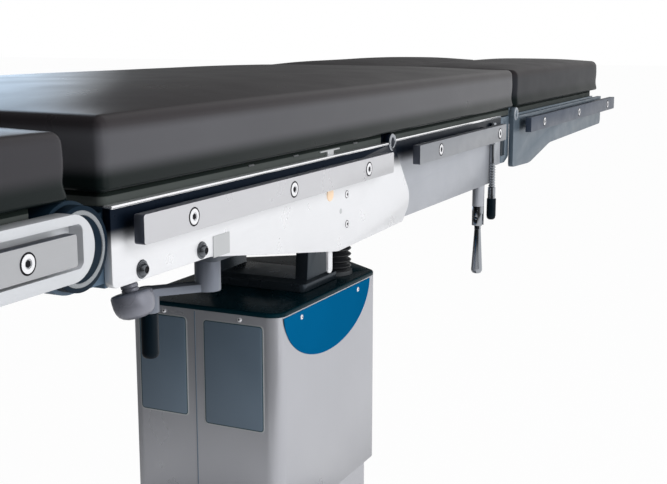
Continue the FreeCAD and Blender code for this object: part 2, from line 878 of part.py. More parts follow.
# Head section: cast arms with inset rails, board and pad
def build_head_section():
    arm = new_body("head_arm_body")
    centre_x = head_axis_x - S.head_arm_set_back
    centre_z = S.rail_top - S.head_arm_drop
    inner, outer = back_plate_outer + S.head_arm_gap, S.rail_outer - S.head_arm_step
    recess_floor = rail_inner - S.head_rail_standoff
    across_round(arm, "round_end", centre_x, centre_z, S.head_arm_radius, inner, outer)
    tip_x = centre_x - S.head_arm_length
    points = rectangle(tip_x, centre_x, centre_z - S.head_arm_radius, centre_z + S.head_arm_radius)
    across(arm, "bar", points, inner, outer)
    round_corners(arm, "tip", ALONG_Y, side_corners(points, [0, 3]), S.head_arm_tip_radius)
    recess_right = centre_x + S.head_recess_start
    recess_top = centre_z + S.head_recess_high / 2 + 1
    recess = rectangle(
        tip_x + 8, recess_right, recess_top - S.head_recess_high, recess_top
    )
    across(
        arm, "rail_recess", recess, recess_floor, outer + 1, "PartDesign::Pocket"
    )
    round_corners(arm, "recess_corners", ALONG_Y, side_corners(recess, range(4)), 6)
    flange = rectangle(
        tip_x + 6, head_axis_x - S.head_board_set_back, frame_top - S.head_flange_thick, frame_top
    )
    across(arm, "board_flange", flange, board_half - S.head_flange_wide, inner + 1)
    across_round(
        arm, "hinge_boss", head_axis_x, head_axis_z, S.boss_radius, lug_outer + S.boss_gap,
        inner + 2,
    )
    across_round(
        arm, "trunnion", head_axis_x, head_axis_z, S.trunnion_radius, lug_inner, lug_outer + 1
    )
    keep_pair("head_arm", arm)

    rail_top = S.rail_top - S.head_rail_drop
    start = head_axis_x - S.head_rail_set_back - S.head_rail_length
    rail = accessory_rail(
        "head_rail", start, S.head_rail_length,
        [start + S.head_spacer_inset, start + S.head_rail_length - S.head_spacer_inset],
        recess_floor, rail_top,
    )
    keep("head_rails", group("head_rail_group", rail, mirror(rail, "head_rail_mirror")))

    board = new_body("head_board_body")
    near = head_axis_x - S.head_board_set_back
    points = rectangle(
        near - S.head_board_length, near, -board_half, board_half
    )
    upright(board, "sheet", points, frame_top, board_top)
    round_corners(board, "corners", ALONG_Z, plan_corners(points, [0, 3]), 30)
    keep("head_board", board)

    near = head_axis_x - S.head_pad_set_back
    points = rectangle(near - S.head_pad_length, near, -pad_half, pad_half)
    keep("head_pad", cushion("head_pad", points, S.head_pad_thick, range(4)))


# Seat section: side plates, cross members, rails, board
def build_seat_section():
    plate = new_body("seat_plate_body")
    start = S.pivot_x - S.seat_plate_start
    deep_end = leg_pivot_x - S.seat_deep_back
    narrow_end = leg_pivot_x - S.seat_narrow_back
    points = [
        (start, frame_top),
        (start, S.rail_top - S.seat_narrow_depth),
        (start + 24, S.rail_top - S.seat_deep_depth),
        (deep_end, S.rail_top - S.seat_deep_depth),
        (deep_end, S.rail_top - S.seat_narrow_depth),
        (narrow_end, S.rail_top - S.seat_narrow_depth),
        (narrow_end, frame_top),
    ]
    across(plate, "side", points, seat_plate_inner, seat_plate_outer)
    round_corners(plate, "deep_corner", ALONG_Y, side_corners(points, [3, 4]), 5)
    round_corners(plate, "pivot_corner", ALONG_Y, side_corners(points, [1, 2]), 14)
    across_round(plate, "ear", S.pivot_x, pivot_z, S.ear_radius, seat_plate_inner, seat_plate_outer)
    across_round(
        plate, "pivot_pin", S.pivot_x, pivot_z, S.pin_radius, seat_plate_outer - 1,
        back_plate_outer + S.pin_stand,
    )
    upright_round(
        plate, "clamp_boss", clamp_x, -clamp_half, S.clamp_radius,
        S.rail_top - S.clamp_boss_bottom, S.rail_top - S.clamp_boss_top,
    )
    guide = rectangle(
        rod_x - S.rod_guide_half, rod_x + S.rod_guide_half,
        S.rail_top - S.rod_guide_bottom, S.rail_top - S.rod_guide_top,
    )
    across(plate, "rod_guide", guide, seat_plate_outer - 1, rod_half + S.rod_guide_half)
    upright_round(
        plate, "rod_bore", rod_x, -rod_half, S.rod_radius + S.running_play,
        S.rail_top - S.rod_guide_bottom - 2, S.rail_top - S.rod_guide_top + 2,
        "PartDesign::Pocket",
    )
    keep_pair("seat_side_plate", plate)

    pivot_beam = new_body("pivot_beam_body")
    x_low = S.pivot_x + S.pivot_beam_start
    points = rectangle(
        x_low, x_low + S.pivot_beam_wide, frame_top - S.pivot_beam_depth, frame_top
    )
    across(pivot_beam, "beam", points, -seat_plate_inner, seat_plate_inner)
    round_corners(pivot_beam, "beam_corners", ALONG_Y, side_corners(points, [0, 1]), 6)

    leg_beam = new_body("leg_beam_body")
    x_low = leg_pivot_x - S.leg_beam_back
    x_high = x_low + S.leg_beam_wide
    points = rectangle(x_low, x_high, S.rail_top - S.leg_beam_depth, frame_top)
    across(leg_beam, "beam", points, -seat_plate_inner, seat_plate_inner)
    low = S.rail_top - S.yaw_lug_bottom_drop
    high = S.rail_top - S.yaw_lug_top_drop
    inner_y = yaw_half - S.yaw_radius
    neck_outer = seat_plate_inner - 0.5
    for side, sign in (("right", -1), ("left", 1)):
        axis_y = yaw_half * sign
        y_pair = sorted([inner_y * sign, neck_outer * sign], key=lambda size: size.number)
        upright(leg_beam, f"neck_{side}", rectangle(x_high - 1, yaw_x, *y_pair), low, high)
        upright_round(leg_beam, f"lug_{side}", yaw_x, axis_y, S.yaw_radius, low, high)
        upright_round(
            leg_beam, f"lug_bore_{side}", yaw_x, axis_y, S.yaw_pin_radius + S.running_play,
            low - 1, high + 1, "PartDesign::Pocket",
        )

    hangers = []
    for name, near, far in (
        ("leg_hanger", S.hanger_near, S.hanger_far),
        ("head_hanger", -S.hanger_far, -S.hanger_near),
    ):
        hanger = new_body(name + "_body")
        sketch = sketch_on(hanger, "profile", "YZ_Plane", S.column_x + near)
        waist = cardan_z + S.hanger_waist_rise
        edge = cardan_z + S.hanger_edge_rise
        draw_outline(
            sketch,
            [
                (-seat_plate_inner, frame_top),
                (-seat_plate_inner, edge),
                (-S.hanger_flat_half, waist),
                (-S.hanger_waist_half, waist),
                (-S.hanger_radius, cardan_z),
                (S.hanger_radius, cardan_z),
                (S.hanger_waist_half, waist),
                (S.hanger_flat_half, waist),
                (seat_plate_inner, edge),
                (seat_plate_inner, frame_top),
            ],
        )
        extrude(hanger, "plate", sketch, far - near)
        eye = sketch_on(hanger, "eye_sketch", "YZ_Plane", S.column_x + near)
        draw_circle(eye, 0.0, cardan_z, S.hanger_radius)
        extrude(hanger, "eye", eye, far - near)
        bore = sketch_on(hanger, "bore_sketch", "YZ_Plane", S.column_x + near - 1)
        draw_circle(bore, 0.0, cardan_z, S.journal_radius + S.running_play)
        extrude(hanger, "bore", bore, far - near + 2, "PartDesign::Pocket", True)
        hangers.append(hanger)
    keep("seat_cross_members", group("seat_cross_member_group", pivot_beam, leg_beam, *hangers))

    start = S.pivot_x + S.seat_rail_start
    length = S.seat_length - S.seat_rail_start - S.seat_rail_back
    rail = accessory_rail(
        "seat_rail", start, length,
        [start + S.seat_spacer_inset, start + length - S.seat_spacer_back], seat_plate_outer,
    )
    keep("seat_rails", group("seat_rail_group", rail, mirror(rail, "seat_rail_mirror")))

    board = new_body("seat_board_body")
    points = rectangle(
        S.pivot_x + S.board_gap, leg_pivot_x - S.board_gap,
        -board_half, board_half,
    )
    upright(board, "sheet", points, frame_top, board_top)
    keep("seat_board", board)


# Leg sections: knuckle, gooseneck arm with rail, board, pad
def build_leg_section():
    yaw_y = -yaw_half
    inner, outer = yaw_half - S.yaw_radius, yaw_half + S.yaw_radius
    knuckle = new_body("leg_knuckle_body")
    top = S.rail_top + S.yaw_top_rise
    low = S.rail_top - S.yaw_bottom_drop
    lug_top = S.rail_top - S.yaw_lug_top_drop + S.yaw_gap
    lug_low = S.rail_top - S.yaw_lug_bottom_drop - S.yaw_gap
    block_x = yaw_x + S.knuckle_start
    # the board and its flange pass in front of the block when the leg hangs down
    block_front = leg_pivot_x - S.knuckle_set_back
    points = [
        (block_x, low),
        (block_front, low + 8),
        (block_front, pivot_z - S.ear_radius - 6),
        (leg_pivot_x, pivot_z - S.ear_radius),
        (leg_pivot_x, top),
        (block_x, top),
    ]
    across(knuckle, "block", points, inner, outer)
    round_corners(knuckle, "block_bend", ALONG_Y, side_corners(points, [1]), 5)
    for name, z_low, z_high in (("upper", lug_top, top), ("lower", low, lug_low)):
        upright(knuckle, name + "_arm", rectangle(yaw_x, block_x + 1, -outer, -inner), z_low, z_high)
        upright_round(knuckle, name + "_eye", yaw_x, yaw_y, S.yaw_radius, z_low, z_high)
    upright_round(knuckle, "yaw_pin", yaw_x, yaw_y, S.yaw_pin_radius, lug_low - 1, lug_top + 1)
    across_round(knuckle, "pitch_ear", leg_pivot_x, pivot_z, S.ear_radius, inner, outer)
    across_round(
        knuckle, "pitch_pin", leg_pivot_x, pivot_z, S.pin_radius, outer - 1,
        back_plate_outer + S.pin_stand,
    )
    keep_pair("leg_knuckle", knuckle)

    plate_inner = back_plate_outer - S.leg_plate_thick
    arm = new_body("leg_arm_body")
    plate_top = S.rail_top + S.leg_plate_rise
    points = [
        (leg_pivot_x - S.leg_plate_back, plate_top),
        (leg_pivot_x - S.leg_plate_back, S.rail_top - S.leg_plate_drop),
        (leg_pivot_x + S.leg_neck_run, S.rail_top - S.leg_neck_drop),
        (leg_pivot_x + S.leg_waist_run, S.rail_top - S.leg_waist_drop),
        (leg_pivot_x + S.leg_plate_length, S.rail_top - S.leg_tip_drop),
        (leg_pivot_x + S.leg_plate_length, plate_top),
    ]
    across(arm, "side", points, plate_inner, back_plate_outer)
    round_corners(arm, "rear_corner", ALONG_Y, side_corners(points, [1]), 7)
    round_corners(arm, "gooseneck", ALONG_Y, side_corners(points, [2, 3]), S.leg_neck_radius)
    round_corners(arm, "tip_corner", ALONG_Y, side_corners(points, [4]), 10)
    across_round(arm, "ear", leg_pivot_x, pivot_z, S.ear_radius, plate_inner, back_plate_outer)
    flange_inner = plate_inner - S.leg_flange_wide
    flange_start = leg_pivot_x + S.leg_flange_start
    flange_end = leg_pivot_x + S.leg_board_start + S.leg_board_length - 8
    flange = rectangle(flange_start, flange_end, frame_top - S.leg_flange_thick, frame_top)
    across(arm, "board_flange", flange, flange_inner, plate_inner + 1)
    for n in range(3):
        rib_x = flange_start + (flange_end - flange_start - S.leg_rib_wide) * (n / 2.0)
        rib = rectangle(rib_x, rib_x + S.leg_rib_wide, frame_top - S.leg_flange_thick, frame_top)
        across(arm, f"rib_{n}", rib, S.leg_rib_reach, flange_inner + 1)
    across_round(
        arm, "pitch_bore", leg_pivot_x, pivot_z, S.pin_radius + S.running_play,
        plate_inner - 1, back_plate_outer + 1, "PartDesign::Pocket",
    )
    rail_start = leg_pivot_x + S.leg_rail_start
    rail_end = leg_pivot_x + S.leg_plate_length + S.leg_rail_overrun
    first, last = rail_start + S.leg_spacer_first, rail_end - S.leg_spacer_last
    spacers = [first, (first + last) / 2, last]
    rail = accessory_rail(
        "leg_rail", rail_start, rail_end - rail_start, spacers, back_plate_outer
    )
    arm_with_rail = join("leg_arm_with_rail", arm, rail)
    keep_pair("leg_arm", arm_with_rail)

    board = new_body("leg_board_body")
    x_low = leg_pivot_x + S.leg_board_start
    points = rectangle(x_low, x_low + S.leg_board_length, -plate_inner + 2, -S.leg_gap_half)
    upright(board, "sheet", points, frame_top, board_top)
    round_corners(board, "corners", ALONG_Z, plan_corners(points, [1, 2]), 24)
    keep_pair("leg_board", board)

    x_low = leg_pivot_x + S.leg_pad_start
    points = rectangle(
        x_low, x_low + S.leg_pad_length, -pad_half, -S.leg_gap_half
    )
    keep_pair("leg_pad", cushion("leg_pad", points, S.leg_pad_thick, range(4)))


# Clamp lever and release rod on each side of the leg end
def build_leg_locks():
    x = clamp_x
    pin_z = S.rail_top - S.clamp_pin_drop
    body_top = S.rail_top - S.clamp_boss_bottom - S.yaw_gap
    body_low = S.rail_top - S.clamp_body_bottom
    spindle = new_body("clamp_spindle_body")
    upright_round(spindle, "barrel", x, -clamp_half, S.clamp_radius, body_low, body_top)
    slot = rectangle(
        x - S.clamp_slot_half, x + S.clamp_slot_half,
        -clamp_half - S.clamp_radius - 1, -clamp_half + S.clamp_radius + 1,
    )
    upright(
        spindle, "slot", slot, body_low - 1, pin_z + S.clamp_tongue_radius + 1.5,
        "PartDesign::Pocket",
    )
    sketch = sketch_on(spindle, "cross_bore_sketch", "YZ_Plane", x - S.clamp_radius - 1)
    draw_circle(sketch, -clamp_half, pin_z, S.clamp_pin_radius + S.running_play)
    extrude(spindle, "cross_bore", sketch, S.clamp_radius * 2 + 2, "PartDesign::Pocket", True)
    keep_pair("clamp_spindle", spindle)

    handle = new_body("clamp_handle_body")
    cone_top = S.clamp_pin_drop - S.clamp_cone_top
    cone_low = S.clamp_pin_drop - S.clamp_cone_bottom
    points = [
        (0.0, cone_top),
        (S.clamp_cone_small, cone_top),
        (S.clamp_cone_large, cone_low + 5),
        (S.clamp_cone_large - 2, cone_low + 1),
        (S.clamp_cone_large - 4, cone_low),
        (0.0, cone_low),
    ]
    revolve(handle, "taper", points)
    tongue = sketch_on(handle, "tongue_sketch", "YZ_Plane", -S.clamp_tongue_half)
    draw_outline(
        tongue,
        rectangle(
            -S.clamp_cone_small + 0.6, S.clamp_cone_small - 0.6, cone_top - 1, 0.0
        ),
    )
    extrude(handle, "tongue", tongue, S.clamp_tongue_half * 2)
    eye = sketch_on(handle, "eye_sketch", "YZ_Plane", -S.clamp_tongue_half)
    draw_circle(eye, 0.0, 0.0, S.clamp_tongue_radius)
    extrude(handle, "eye", eye, S.clamp_tongue_half * 2)
    pin = sketch_on(handle, "pin_sketch", "YZ_Plane", -S.clamp_radius + 0.6)
    draw_circle(pin, 0.0, 0.0, S.clamp_pin_radius)
    extrude(handle, "pin", pin, S.clamp_radius * 2 - 1.2)
    place(handle, x, -clamp_half, pin_z)
    keep_pair("clamp_handle", handle)

    rod = new_body("release_rod_body")
    grip_high = S.rail_top - S.rod_grip_top
    grip_low = S.rail_top - S.rod_grip_bottom
    collar_high = S.rail_top - S.rod_collar_top
    points = [
        (0.0, S.rail_top),
        (S.rod_radius - 1, S.rail_top),
        (S.rod_radius, S.rail_top - 1),
        (S.rod_radius, collar_high),
        (S.rod_collar_radius, collar_high - 1),
        (S.rod_collar_radius, grip_high),
        (S.rod_grip_radius, grip_high - 1),
        (S.rod_grip_radius, grip_low + 4),
        (S.rod_grip_radius - 3, grip_low),
        (0.0, grip_low),
    ]
    revolve(rod, "turned", points)
    place(rod, rod_x, -rod_half, 0.0)
    keep_pair("release_rod", rod)


# Column: telescopic covers, cap, ram and cardan pedestal
def column_plan(inset):
    """The cover outline: flat towards the head end, a blunt prow towards the leg end."""
    inset = Size.of(inset)
    back = S.column_x - S.cover_back + inset
    half = S.cover_half - inset
    shoulder = S.column_x + S.cover_shoulder - inset * SHOULDER_MITRE
    chamfer_x = S.column_x + S.cover_chamfer_x - inset * CHAMFER_MITRE_X
    chamfer_half = S.cover_chamfer_half - inset * CHAMFER_MITRE_Y
    nose = S.column_x + S.cover_nose - inset * NOSE_MITRE
    return [
        (back, -half),
        (shoulder, -half),
        (chamfer_x, -chamfer_half),
        (nose, 0.0),
        (chamfer_x, chamfer_half),
        (shoulder, half),
        (back, half),
    ]


def tube_cover(node, inset, low, high, wiper):
    """One stage of the telescopic cover, with an inward lip that wipes the stage inside it."""
    inset = Size.of(inset)
    body = new_body(node + "_body")
    outside = column_plan(inset)
    inside = column_plan(inset + S.cover_wall)
    upright(body, "outside", outside, low, high)
    floor = low + S.wiper_high if wiper else low - 1
    upright(body, "inside", inside, floor, high + 1, "PartDesign::Pocket")
    round_corners(
        body, "corners", ALONG_Z, plan_corners(outside, [0, 1, 5, 6]), S.cover_corner - inset / 2
    )
    round_corners(
        body, "inner_corners", ALONG_Z, plan_corners(inside, [0, 1, 5, 6]),
        S.cover_corner - inset / 2 - S.cover_wall,
    )
    if wiper:
        lip = column_plan(inset + S.cover_step - S.wiper_gap)
        upright(body, "lip", lip, low - 1, floor + 1, "PartDesign::Pocket")
    keep(node, body)


def build_column():
    chassis_top = S.chassis_low + S.chassis_thick
    cover_top = S.cap_top - S.cap_thick
    tube_cover("upper_column_cover", 0.0, S.cap_top - S.upper_cover_length, cover_top, True)
    middle_low = S.middle_cover_low
    tube_cover(
        "middle_column_cover", S.cover_step, middle_low, middle_low + S.middle_cover_length, True
    )
    tube_cover("lower_column_cover", S.cover_step * 2, chassis_top, S.lower_cover_top, False)

    cap = new_body("column_cap_body")
    outside = column_plan(0.0)
    plug = column_plan(S.cover_wall + S.wiper_gap)
    upright(cap, "plug", plug, cover_top - S.cap_skirt, cover_top)
    round_corners(
        cap, "plug_corners", ALONG_Z, plan_corners(plug, [0, 1, 5, 6]),
        S.cover_corner - S.cover_wall,
    )
    upright(cap, "lid", outside, cover_top, S.cap_top)
    round_corners(
        cap, "corners", ALONG_Z, plan_corners(outside, [0, 1, 5, 6]), S.cover_corner
    )
    height = S.cap_top.number

    def on_top(edge):
        return all(abs(v.Point.z - height) < 1e-3 for v in edge.Vertexes)

    round_edges(cap, "upper_edge", on_top, S.cap_round)
    actuator_x = S.column_x + S.actuator_place_x
    for name, x, y, radius in (
        ("ram_hole", S.column_x, 0.0, S.ram_radius + S.ram_hole_gap),
        ("actuator_hole", actuator_x, -S.actuator_place_y, S.actuator_radius + S.wiper_gap),
    ):
        upright_round(
            cap, name, x, y, radius, cover_top - S.cap_skirt - 1, S.cap_top + 1,
            "PartDesign::Pocket",
        )
    keep("column_cap", cap)

    head = new_body("cardan_pedestal_body")
    flange_top = S.cap_top + S.head_flange_high
    flange = rectangle(
        S.column_x - S.head_flange_x, S.column_x + S.cheek_half + 8,
        -S.head_flange_y, S.head_flange_y,
    )
    upright(head, "flange", flange, S.cap_top, flange_top)
    round_corners(head, "flange_corners", ALONG_Z, plan_corners(flange, range(4)), 10)
    for side, inner, outer in (
        ("right", S.cheek_inner, S.cheek_outer), ("left", -S.cheek_outer, -S.cheek_inner),
    ):
        cheek = [
            (S.column_x - S.cheek_half - 8, flange_top - 1),
            (S.column_x + S.cheek_half, flange_top - 1),
            (S.column_x + S.cheek_half, cardan_z),
            (S.column_x - S.cheek_half, cardan_z),
        ]
        across(head, f"cheek_{side}", cheek, inner, outer)
        across_round(head, f"cheek_eye_{side}", S.column_x, cardan_z, S.cheek_half, inner, outer)
    bore = sketch_on(head, "journal_bore_sketch", "XZ_Plane", S.cheek_outer + 1)
    draw_circle(bore, S.column_x, cardan_z, S.journal_radius + S.running_play)
    extrude(head, "journal_bore", bore, S.cheek_outer * 2 + 2, "PartDesign::Pocket")
    upright_round(head, "ram", S.column_x, 0.0, S.ram_radius, S.ram_bottom, S.cap_top + 1)
    keep("cardan_pedestal", head)

    cylinder = new_body("lift_cylinder_body")
    upright_round(
        cylinder, "barrel", S.column_x, 0.0, S.cylinder_radius, chassis_top, S.cylinder_top
    )
    upright_round(
        cylinder, "barrel_bore", S.column_x, 0.0, S.ram_radius + S.running_play,
        chassis_top + 8, S.cylinder_top + 1, "PartDesign::Pocket",
    )
    keep("lift_cylinder", cylinder)


# Cardan cross with its two outriggers, and the actuators under their bellows
def build_cardan():
    cross = new_body("cardan_cross_body")
    block = rectangle(
        S.column_x - S.cross_half_x, S.column_x + S.cross_half_x,
        -S.cross_half_y, S.cross_half_y,
    )
    upright(cross, "block", block, cardan_z - S.cross_half_z, cardan_z + S.cross_half_z)
    round_corners(cross, "block_corners", ALONG_Z, plan_corners(block, range(4)), S.cross_round)
    across_round(
        cross, "trend_journal", S.column_x, cardan_z, S.journal_radius,
        -S.journal_end_y, S.journal_end_y,
    )
    for name, radius, reach in (
        ("root_boss", S.root_boss_radius, S.root_boss_end),
        ("tilt_journal", S.journal_radius, S.journal_end_x),
    ):
        sketch = sketch_on(cross, name + "_sketch", "YZ_Plane", S.column_x - reach)
        draw_circle(sketch, 0.0, cardan_z, radius)
        extrude(cross, name, sketch, reach * 2)
    low, high = cardan_z - S.outrigger_bottom, cardan_z - S.outrigger_top
    near, far = S.outrigger_near, S.root_boss_end
    plan = rectangle(S.column_x + near, S.column_x + far, -S.outrigger_reach, 0.0)
    upright(cross, "trend_outrigger", plan, low, high)
    round_corners(cross, "trend_outrigger_end", ALONG_Z, plan_corners(plan, [0, 1]), 8)
    plan = [
        (S.column_x - far, 0.0),
        (S.column_x - near, 0.0),
        (S.column_x - near, S.tilt_outrigger_outer),
        (S.column_x - S.tilt_outrigger_reach_x, S.tilt_outrigger_outer),
        (S.column_x - S.tilt_outrigger_reach_x, S.tilt_outrigger_inner),
        (S.column_x - far, S.tilt_outrigger_inner - 18),
    ]
    upright(cross, "tilt_outrigger", plan, low, high)
    round_corners(cross, "tilt_outrigger_end", ALONG_Z, plan_corners(plan, [2, 3, 4]), 8)
    keep("cardan_cross", cross)

    x = S.column_x + S.actuator_place_x
    y = -S.actuator_place_y
    flange_top = S.cap_top + S.actuator_flange_high
    body = new_body("trend_actuator_body")
    upright_round(
        body, "barrel", x, y, S.actuator_radius, S.cap_top - S.trend_actuator_depth, S.cap_top + 1
    )
    upright_round(body, "flange", x, y, S.actuator_flange_radius, S.cap_top, flange_top)
    keep("trend_actuator", body)
    bellows("trend_bellows", x, y, flange_top, low)

    x = S.column_x - S.tilt_place_x
    y = S.tilt_place_y
    body = new_body("tilt_actuator_body")
    upright_round(body, "barrel", x, y, S.actuator_radius - 8, low - S.tilt_actuator_depth, low)
    keep("tilt_actuator", body)
    hanger_underside = cardan_z + S.hanger_waist_rise
    bellows("tilt_bellows", x, y, high, hanger_underside)


def bellows(node, x, y, low, high):
    """A rubber gaiter between two faces, with as many folds as its height takes."""
    body = new_body(node + "_body")
    span = high - low - S.soft_gap * 2
    folds = max(2, round(span.number / S.bellows_pitch.number))
    step = span / (folds * 2)
    points = [(0.0, 0.0), (S.bellows_root, 0.0)]
    for n in range(folds):
        points.append((S.bellows_radius, step * (2 * n + 1)))
        points.append((S.bellows_root, step * (2 * n + 2)))
    points.append((0.0, span))
    revolve(body, "folds", points)
    place(body, x, y, low + S.soft_gap)
    keep(node, body)


# Base: chassis, stainless cover, levelling feet and castors
def base_plan(inset):
    inset = Size.of(inset)
    return rectangle(
        -S.base_head_end + inset, S.base_leg_end - inset,
        -S.base_half + inset, S.base_half - inset,
    )


def build_base():
    chassis_top = S.chassis_low + S.chassis_thick
    chassis = new_body("base_chassis_body")
    plan = base_plan(S.chassis_inset)
    upright(chassis, "plate", plan, S.chassis_low, chassis_top)
    round_corners(
        chassis, "corners", ALONG_Z, plan_corners(plan, range(4)), S.base_corner - S.chassis_inset
    )
    keep("base_chassis", chassis)

    roof = chassis_top + S.cover_roof_thick
    cover = new_body("base_cover_body")
    outside = base_plan(0.0)
    upright(cover, "skirt", outside, S.base_skirt_low, roof)
    inside = base_plan(S.base_wall)
    upright(
        cover, "hollow", inside, S.base_skirt_low - 1, chassis_top, "PartDesign::Pocket"
    )
    round_corners(cover, "skirt_corners", ALONG_Z, plan_corners(outside, range(4)), S.base_corner)
    round_corners(
        cover, "hollow_corners", ALONG_Z, plan_corners(inside, range(4)),
        S.base_corner - S.base_wall,
    )
    height = roof.number

    def on_roof(edge):
        return all(abs(v.Point.z - height) < 1e-3 for v in edge.Vertexes)

    round_edges(cover, "shoulder", on_roof, 1.8)
    margin = S.plinth_margin - S.cover_step * 2
    plinth = column_plan(-margin)
    upright(cover, "plinth", plinth, chassis_top, roof + S.plinth_high)
    round_corners(cover, "plinth_corners", ALONG_Z, plan_corners(plinth, [0, 1, 5, 6]), 30)
    slot = column_plan(S.cover_step * 2 - S.plinth_gap)
    upright(
        cover, "column_hole", slot, chassis_top - 1, roof + S.plinth_high + 1,
        "PartDesign::Pocket",
    )
    keep("base_cover", cover)

    feet = []
    for n, (sx, sy) in enumerate(((1, -1), (1, 1), (-1, -1), (-1, 1))):
        foot = new_body(f"levelling_foot_{n}")
        points = [
            (0.0, 0.0),
            (S.foot_radius, 0.0),
            (S.foot_radius, S.foot_high * 0.4),
            (S.foot_radius * 0.55, S.foot_high),
            (S.foot_stem_radius, S.foot_high + 3),
            (S.foot_stem_radius, S.chassis_low),
            (0.0, S.chassis_low),
        ]
        revolve(foot, "turned", points)
        place(foot, S.foot_x_middle + S.foot_x * sx, S.foot_y * sy, 0.0)
        feet.append(foot)
    keep("levelling_feet", group("levelling_foot_group", *feet))

    for name, x, sy in (
        ("leg_right", S.base_leg_end - S.castor_inset_x, -1),
        ("leg_left", S.base_leg_end - S.castor_inset_x, 1),
        ("head_right", -S.base_head_end + S.castor_inset_x, -1),
        ("head_left", -S.base_head_end + S.castor_inset_x, 1),
    ):
        castor(name, x, S.castor_y * sy)


def castor(name, x, y):
    """A twin-wheel castor: a hood on a swivel stem, with an axle through its web."""
    axle_z = S.castor_lift + S.wheel_radius
    hood = new_body(f"castor_fork_{name}_body")
    upright_round(
        hood, "stem", x, y, S.castor_neck_radius, axle_z + S.wheel_radius + 1.5,
        S.chassis_low - 0.3,
    )
    web = [
        (x - S.castor_trail - 12, axle_z - 8),
        (x - S.castor_trail + 8, axle_z - 12),
        (x + S.castor_neck_radius - 1, S.chassis_low - 20),
        (x + S.castor_neck_radius - 1, S.chassis_low - 6),
        (x - S.castor_trail - 12, S.chassis_low - 8),
    ]
    across(hood, "web", web, -y - S.castor_web_half, -y + S.castor_web_half)
    axle_half = S.wheel_space / 2 + S.wheel_half * 2
    across_round(
        hood, "axle", x - S.castor_trail, axle_z, S.castor_axle_radius, -y - axle_half, -y + axle_half
    )
    keep(f"castor_fork_{name}", hood)

    wheels = []
    for side in (-1, 1):
        wheel = new_body(f"castor_wheel_{name}_{side + 1}")
        bore = S.castor_axle_radius + S.running_play
        points = [
            (bore, -S.wheel_half),
            (S.wheel_radius * 0.5, -S.wheel_half),
            (S.wheel_radius * 0.6, -S.wheel_half + 2),
            (S.wheel_radius * 0.78, -S.wheel_half + 2),
            (S.wheel_radius - 4, -S.wheel_half),
            (S.wheel_radius, -S.wheel_half + 3),
            (S.wheel_radius, S.wheel_half - 3),
            (S.wheel_radius - 4, S.wheel_half),
            (bore, S.wheel_half),
        ]
        revolve(wheel, "rim", points)
        place(
            wheel, x - S.castor_trail, y + (S.wheel_space / 2 + S.wheel_half) * side, axle_z,
            Rotation(ALONG_X, 90),
        )
        wheels.append(wheel)
    keep(f"castor_wheels_{name}", group(f"castor_wheels_{name}_group", *wheels))


def check_and_export():
    """Refuse a model with a failed object, then write one file for each sub-part."""
    doc.recompute()
    for thing in doc.Objects:
        if "Invalid" in thing.State or "Error" in thing.State:
            raise RuntimeError(f"{thing.Name} failed: {thing.State}")
    os.makedirs("parts", exist_ok=True)
    for node, thing in KEPT.items():
        shape = thing.Shape
        if shape.isNull() or not shape.isValid() or not shape.Solids:
            raise RuntimeError(f"{node} has no valid solid")
        shape.exportStep(f"parts/{node}.step")
        box = shape.BoundBox
        print(
            f"{node}: {len(shape.Solids)} solid(s), {shape.Volume / 1000:.1f} cm3, "
            f"x {box.XMin:.1f} {box.XMax:.1f}, y {box.YMin:.1f} {box.YMax:.1f}, "
            f"z {box.ZMin:.1f} {box.ZMax:.1f}"
        )


build_back_section()
build_main_pads()
build_crank()
build_head_section()
build_seat_section()
build_leg_section()
build_leg_locks()
build_column()
build_cardan()
build_base()
check_and_export()
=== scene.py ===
"""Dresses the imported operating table: cushions, metal finishes and the small fittings.

Metres, +Z up, +X to the leg end, -Y the side that the camera sees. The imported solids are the
frame. Each class below is one sub-assembly, builds its own meshes around them and dresses them.
"""
from __future__ import annotations

import json
import logging
import math
from dataclasses import dataclass, field, replace
from enum import Enum
from typing import Iterable, Sequence

import bmesh
import bpy
from mathutils import Matrix, Vector, noise

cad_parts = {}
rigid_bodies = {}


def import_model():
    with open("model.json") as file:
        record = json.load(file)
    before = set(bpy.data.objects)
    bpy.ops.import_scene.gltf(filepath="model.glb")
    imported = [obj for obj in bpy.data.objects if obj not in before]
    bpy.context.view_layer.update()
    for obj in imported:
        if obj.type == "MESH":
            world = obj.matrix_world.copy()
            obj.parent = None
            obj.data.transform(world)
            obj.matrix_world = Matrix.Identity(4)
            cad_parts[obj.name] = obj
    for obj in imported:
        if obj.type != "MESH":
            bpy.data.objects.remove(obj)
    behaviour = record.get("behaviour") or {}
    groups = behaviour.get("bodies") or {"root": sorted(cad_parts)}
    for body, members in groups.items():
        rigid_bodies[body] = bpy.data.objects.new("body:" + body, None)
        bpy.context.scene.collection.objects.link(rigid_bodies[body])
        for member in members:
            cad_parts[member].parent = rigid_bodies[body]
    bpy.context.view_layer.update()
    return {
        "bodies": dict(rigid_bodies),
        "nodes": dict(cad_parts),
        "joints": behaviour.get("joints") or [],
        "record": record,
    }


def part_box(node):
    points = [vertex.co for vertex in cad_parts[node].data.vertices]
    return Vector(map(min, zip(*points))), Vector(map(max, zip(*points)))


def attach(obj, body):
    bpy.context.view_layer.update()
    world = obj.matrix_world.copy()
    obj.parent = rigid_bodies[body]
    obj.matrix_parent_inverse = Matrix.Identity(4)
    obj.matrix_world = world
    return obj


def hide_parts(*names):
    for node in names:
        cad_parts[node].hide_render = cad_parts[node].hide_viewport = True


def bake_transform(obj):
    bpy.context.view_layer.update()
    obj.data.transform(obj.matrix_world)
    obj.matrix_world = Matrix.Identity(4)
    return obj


log = logging.getLogger("operating_table")

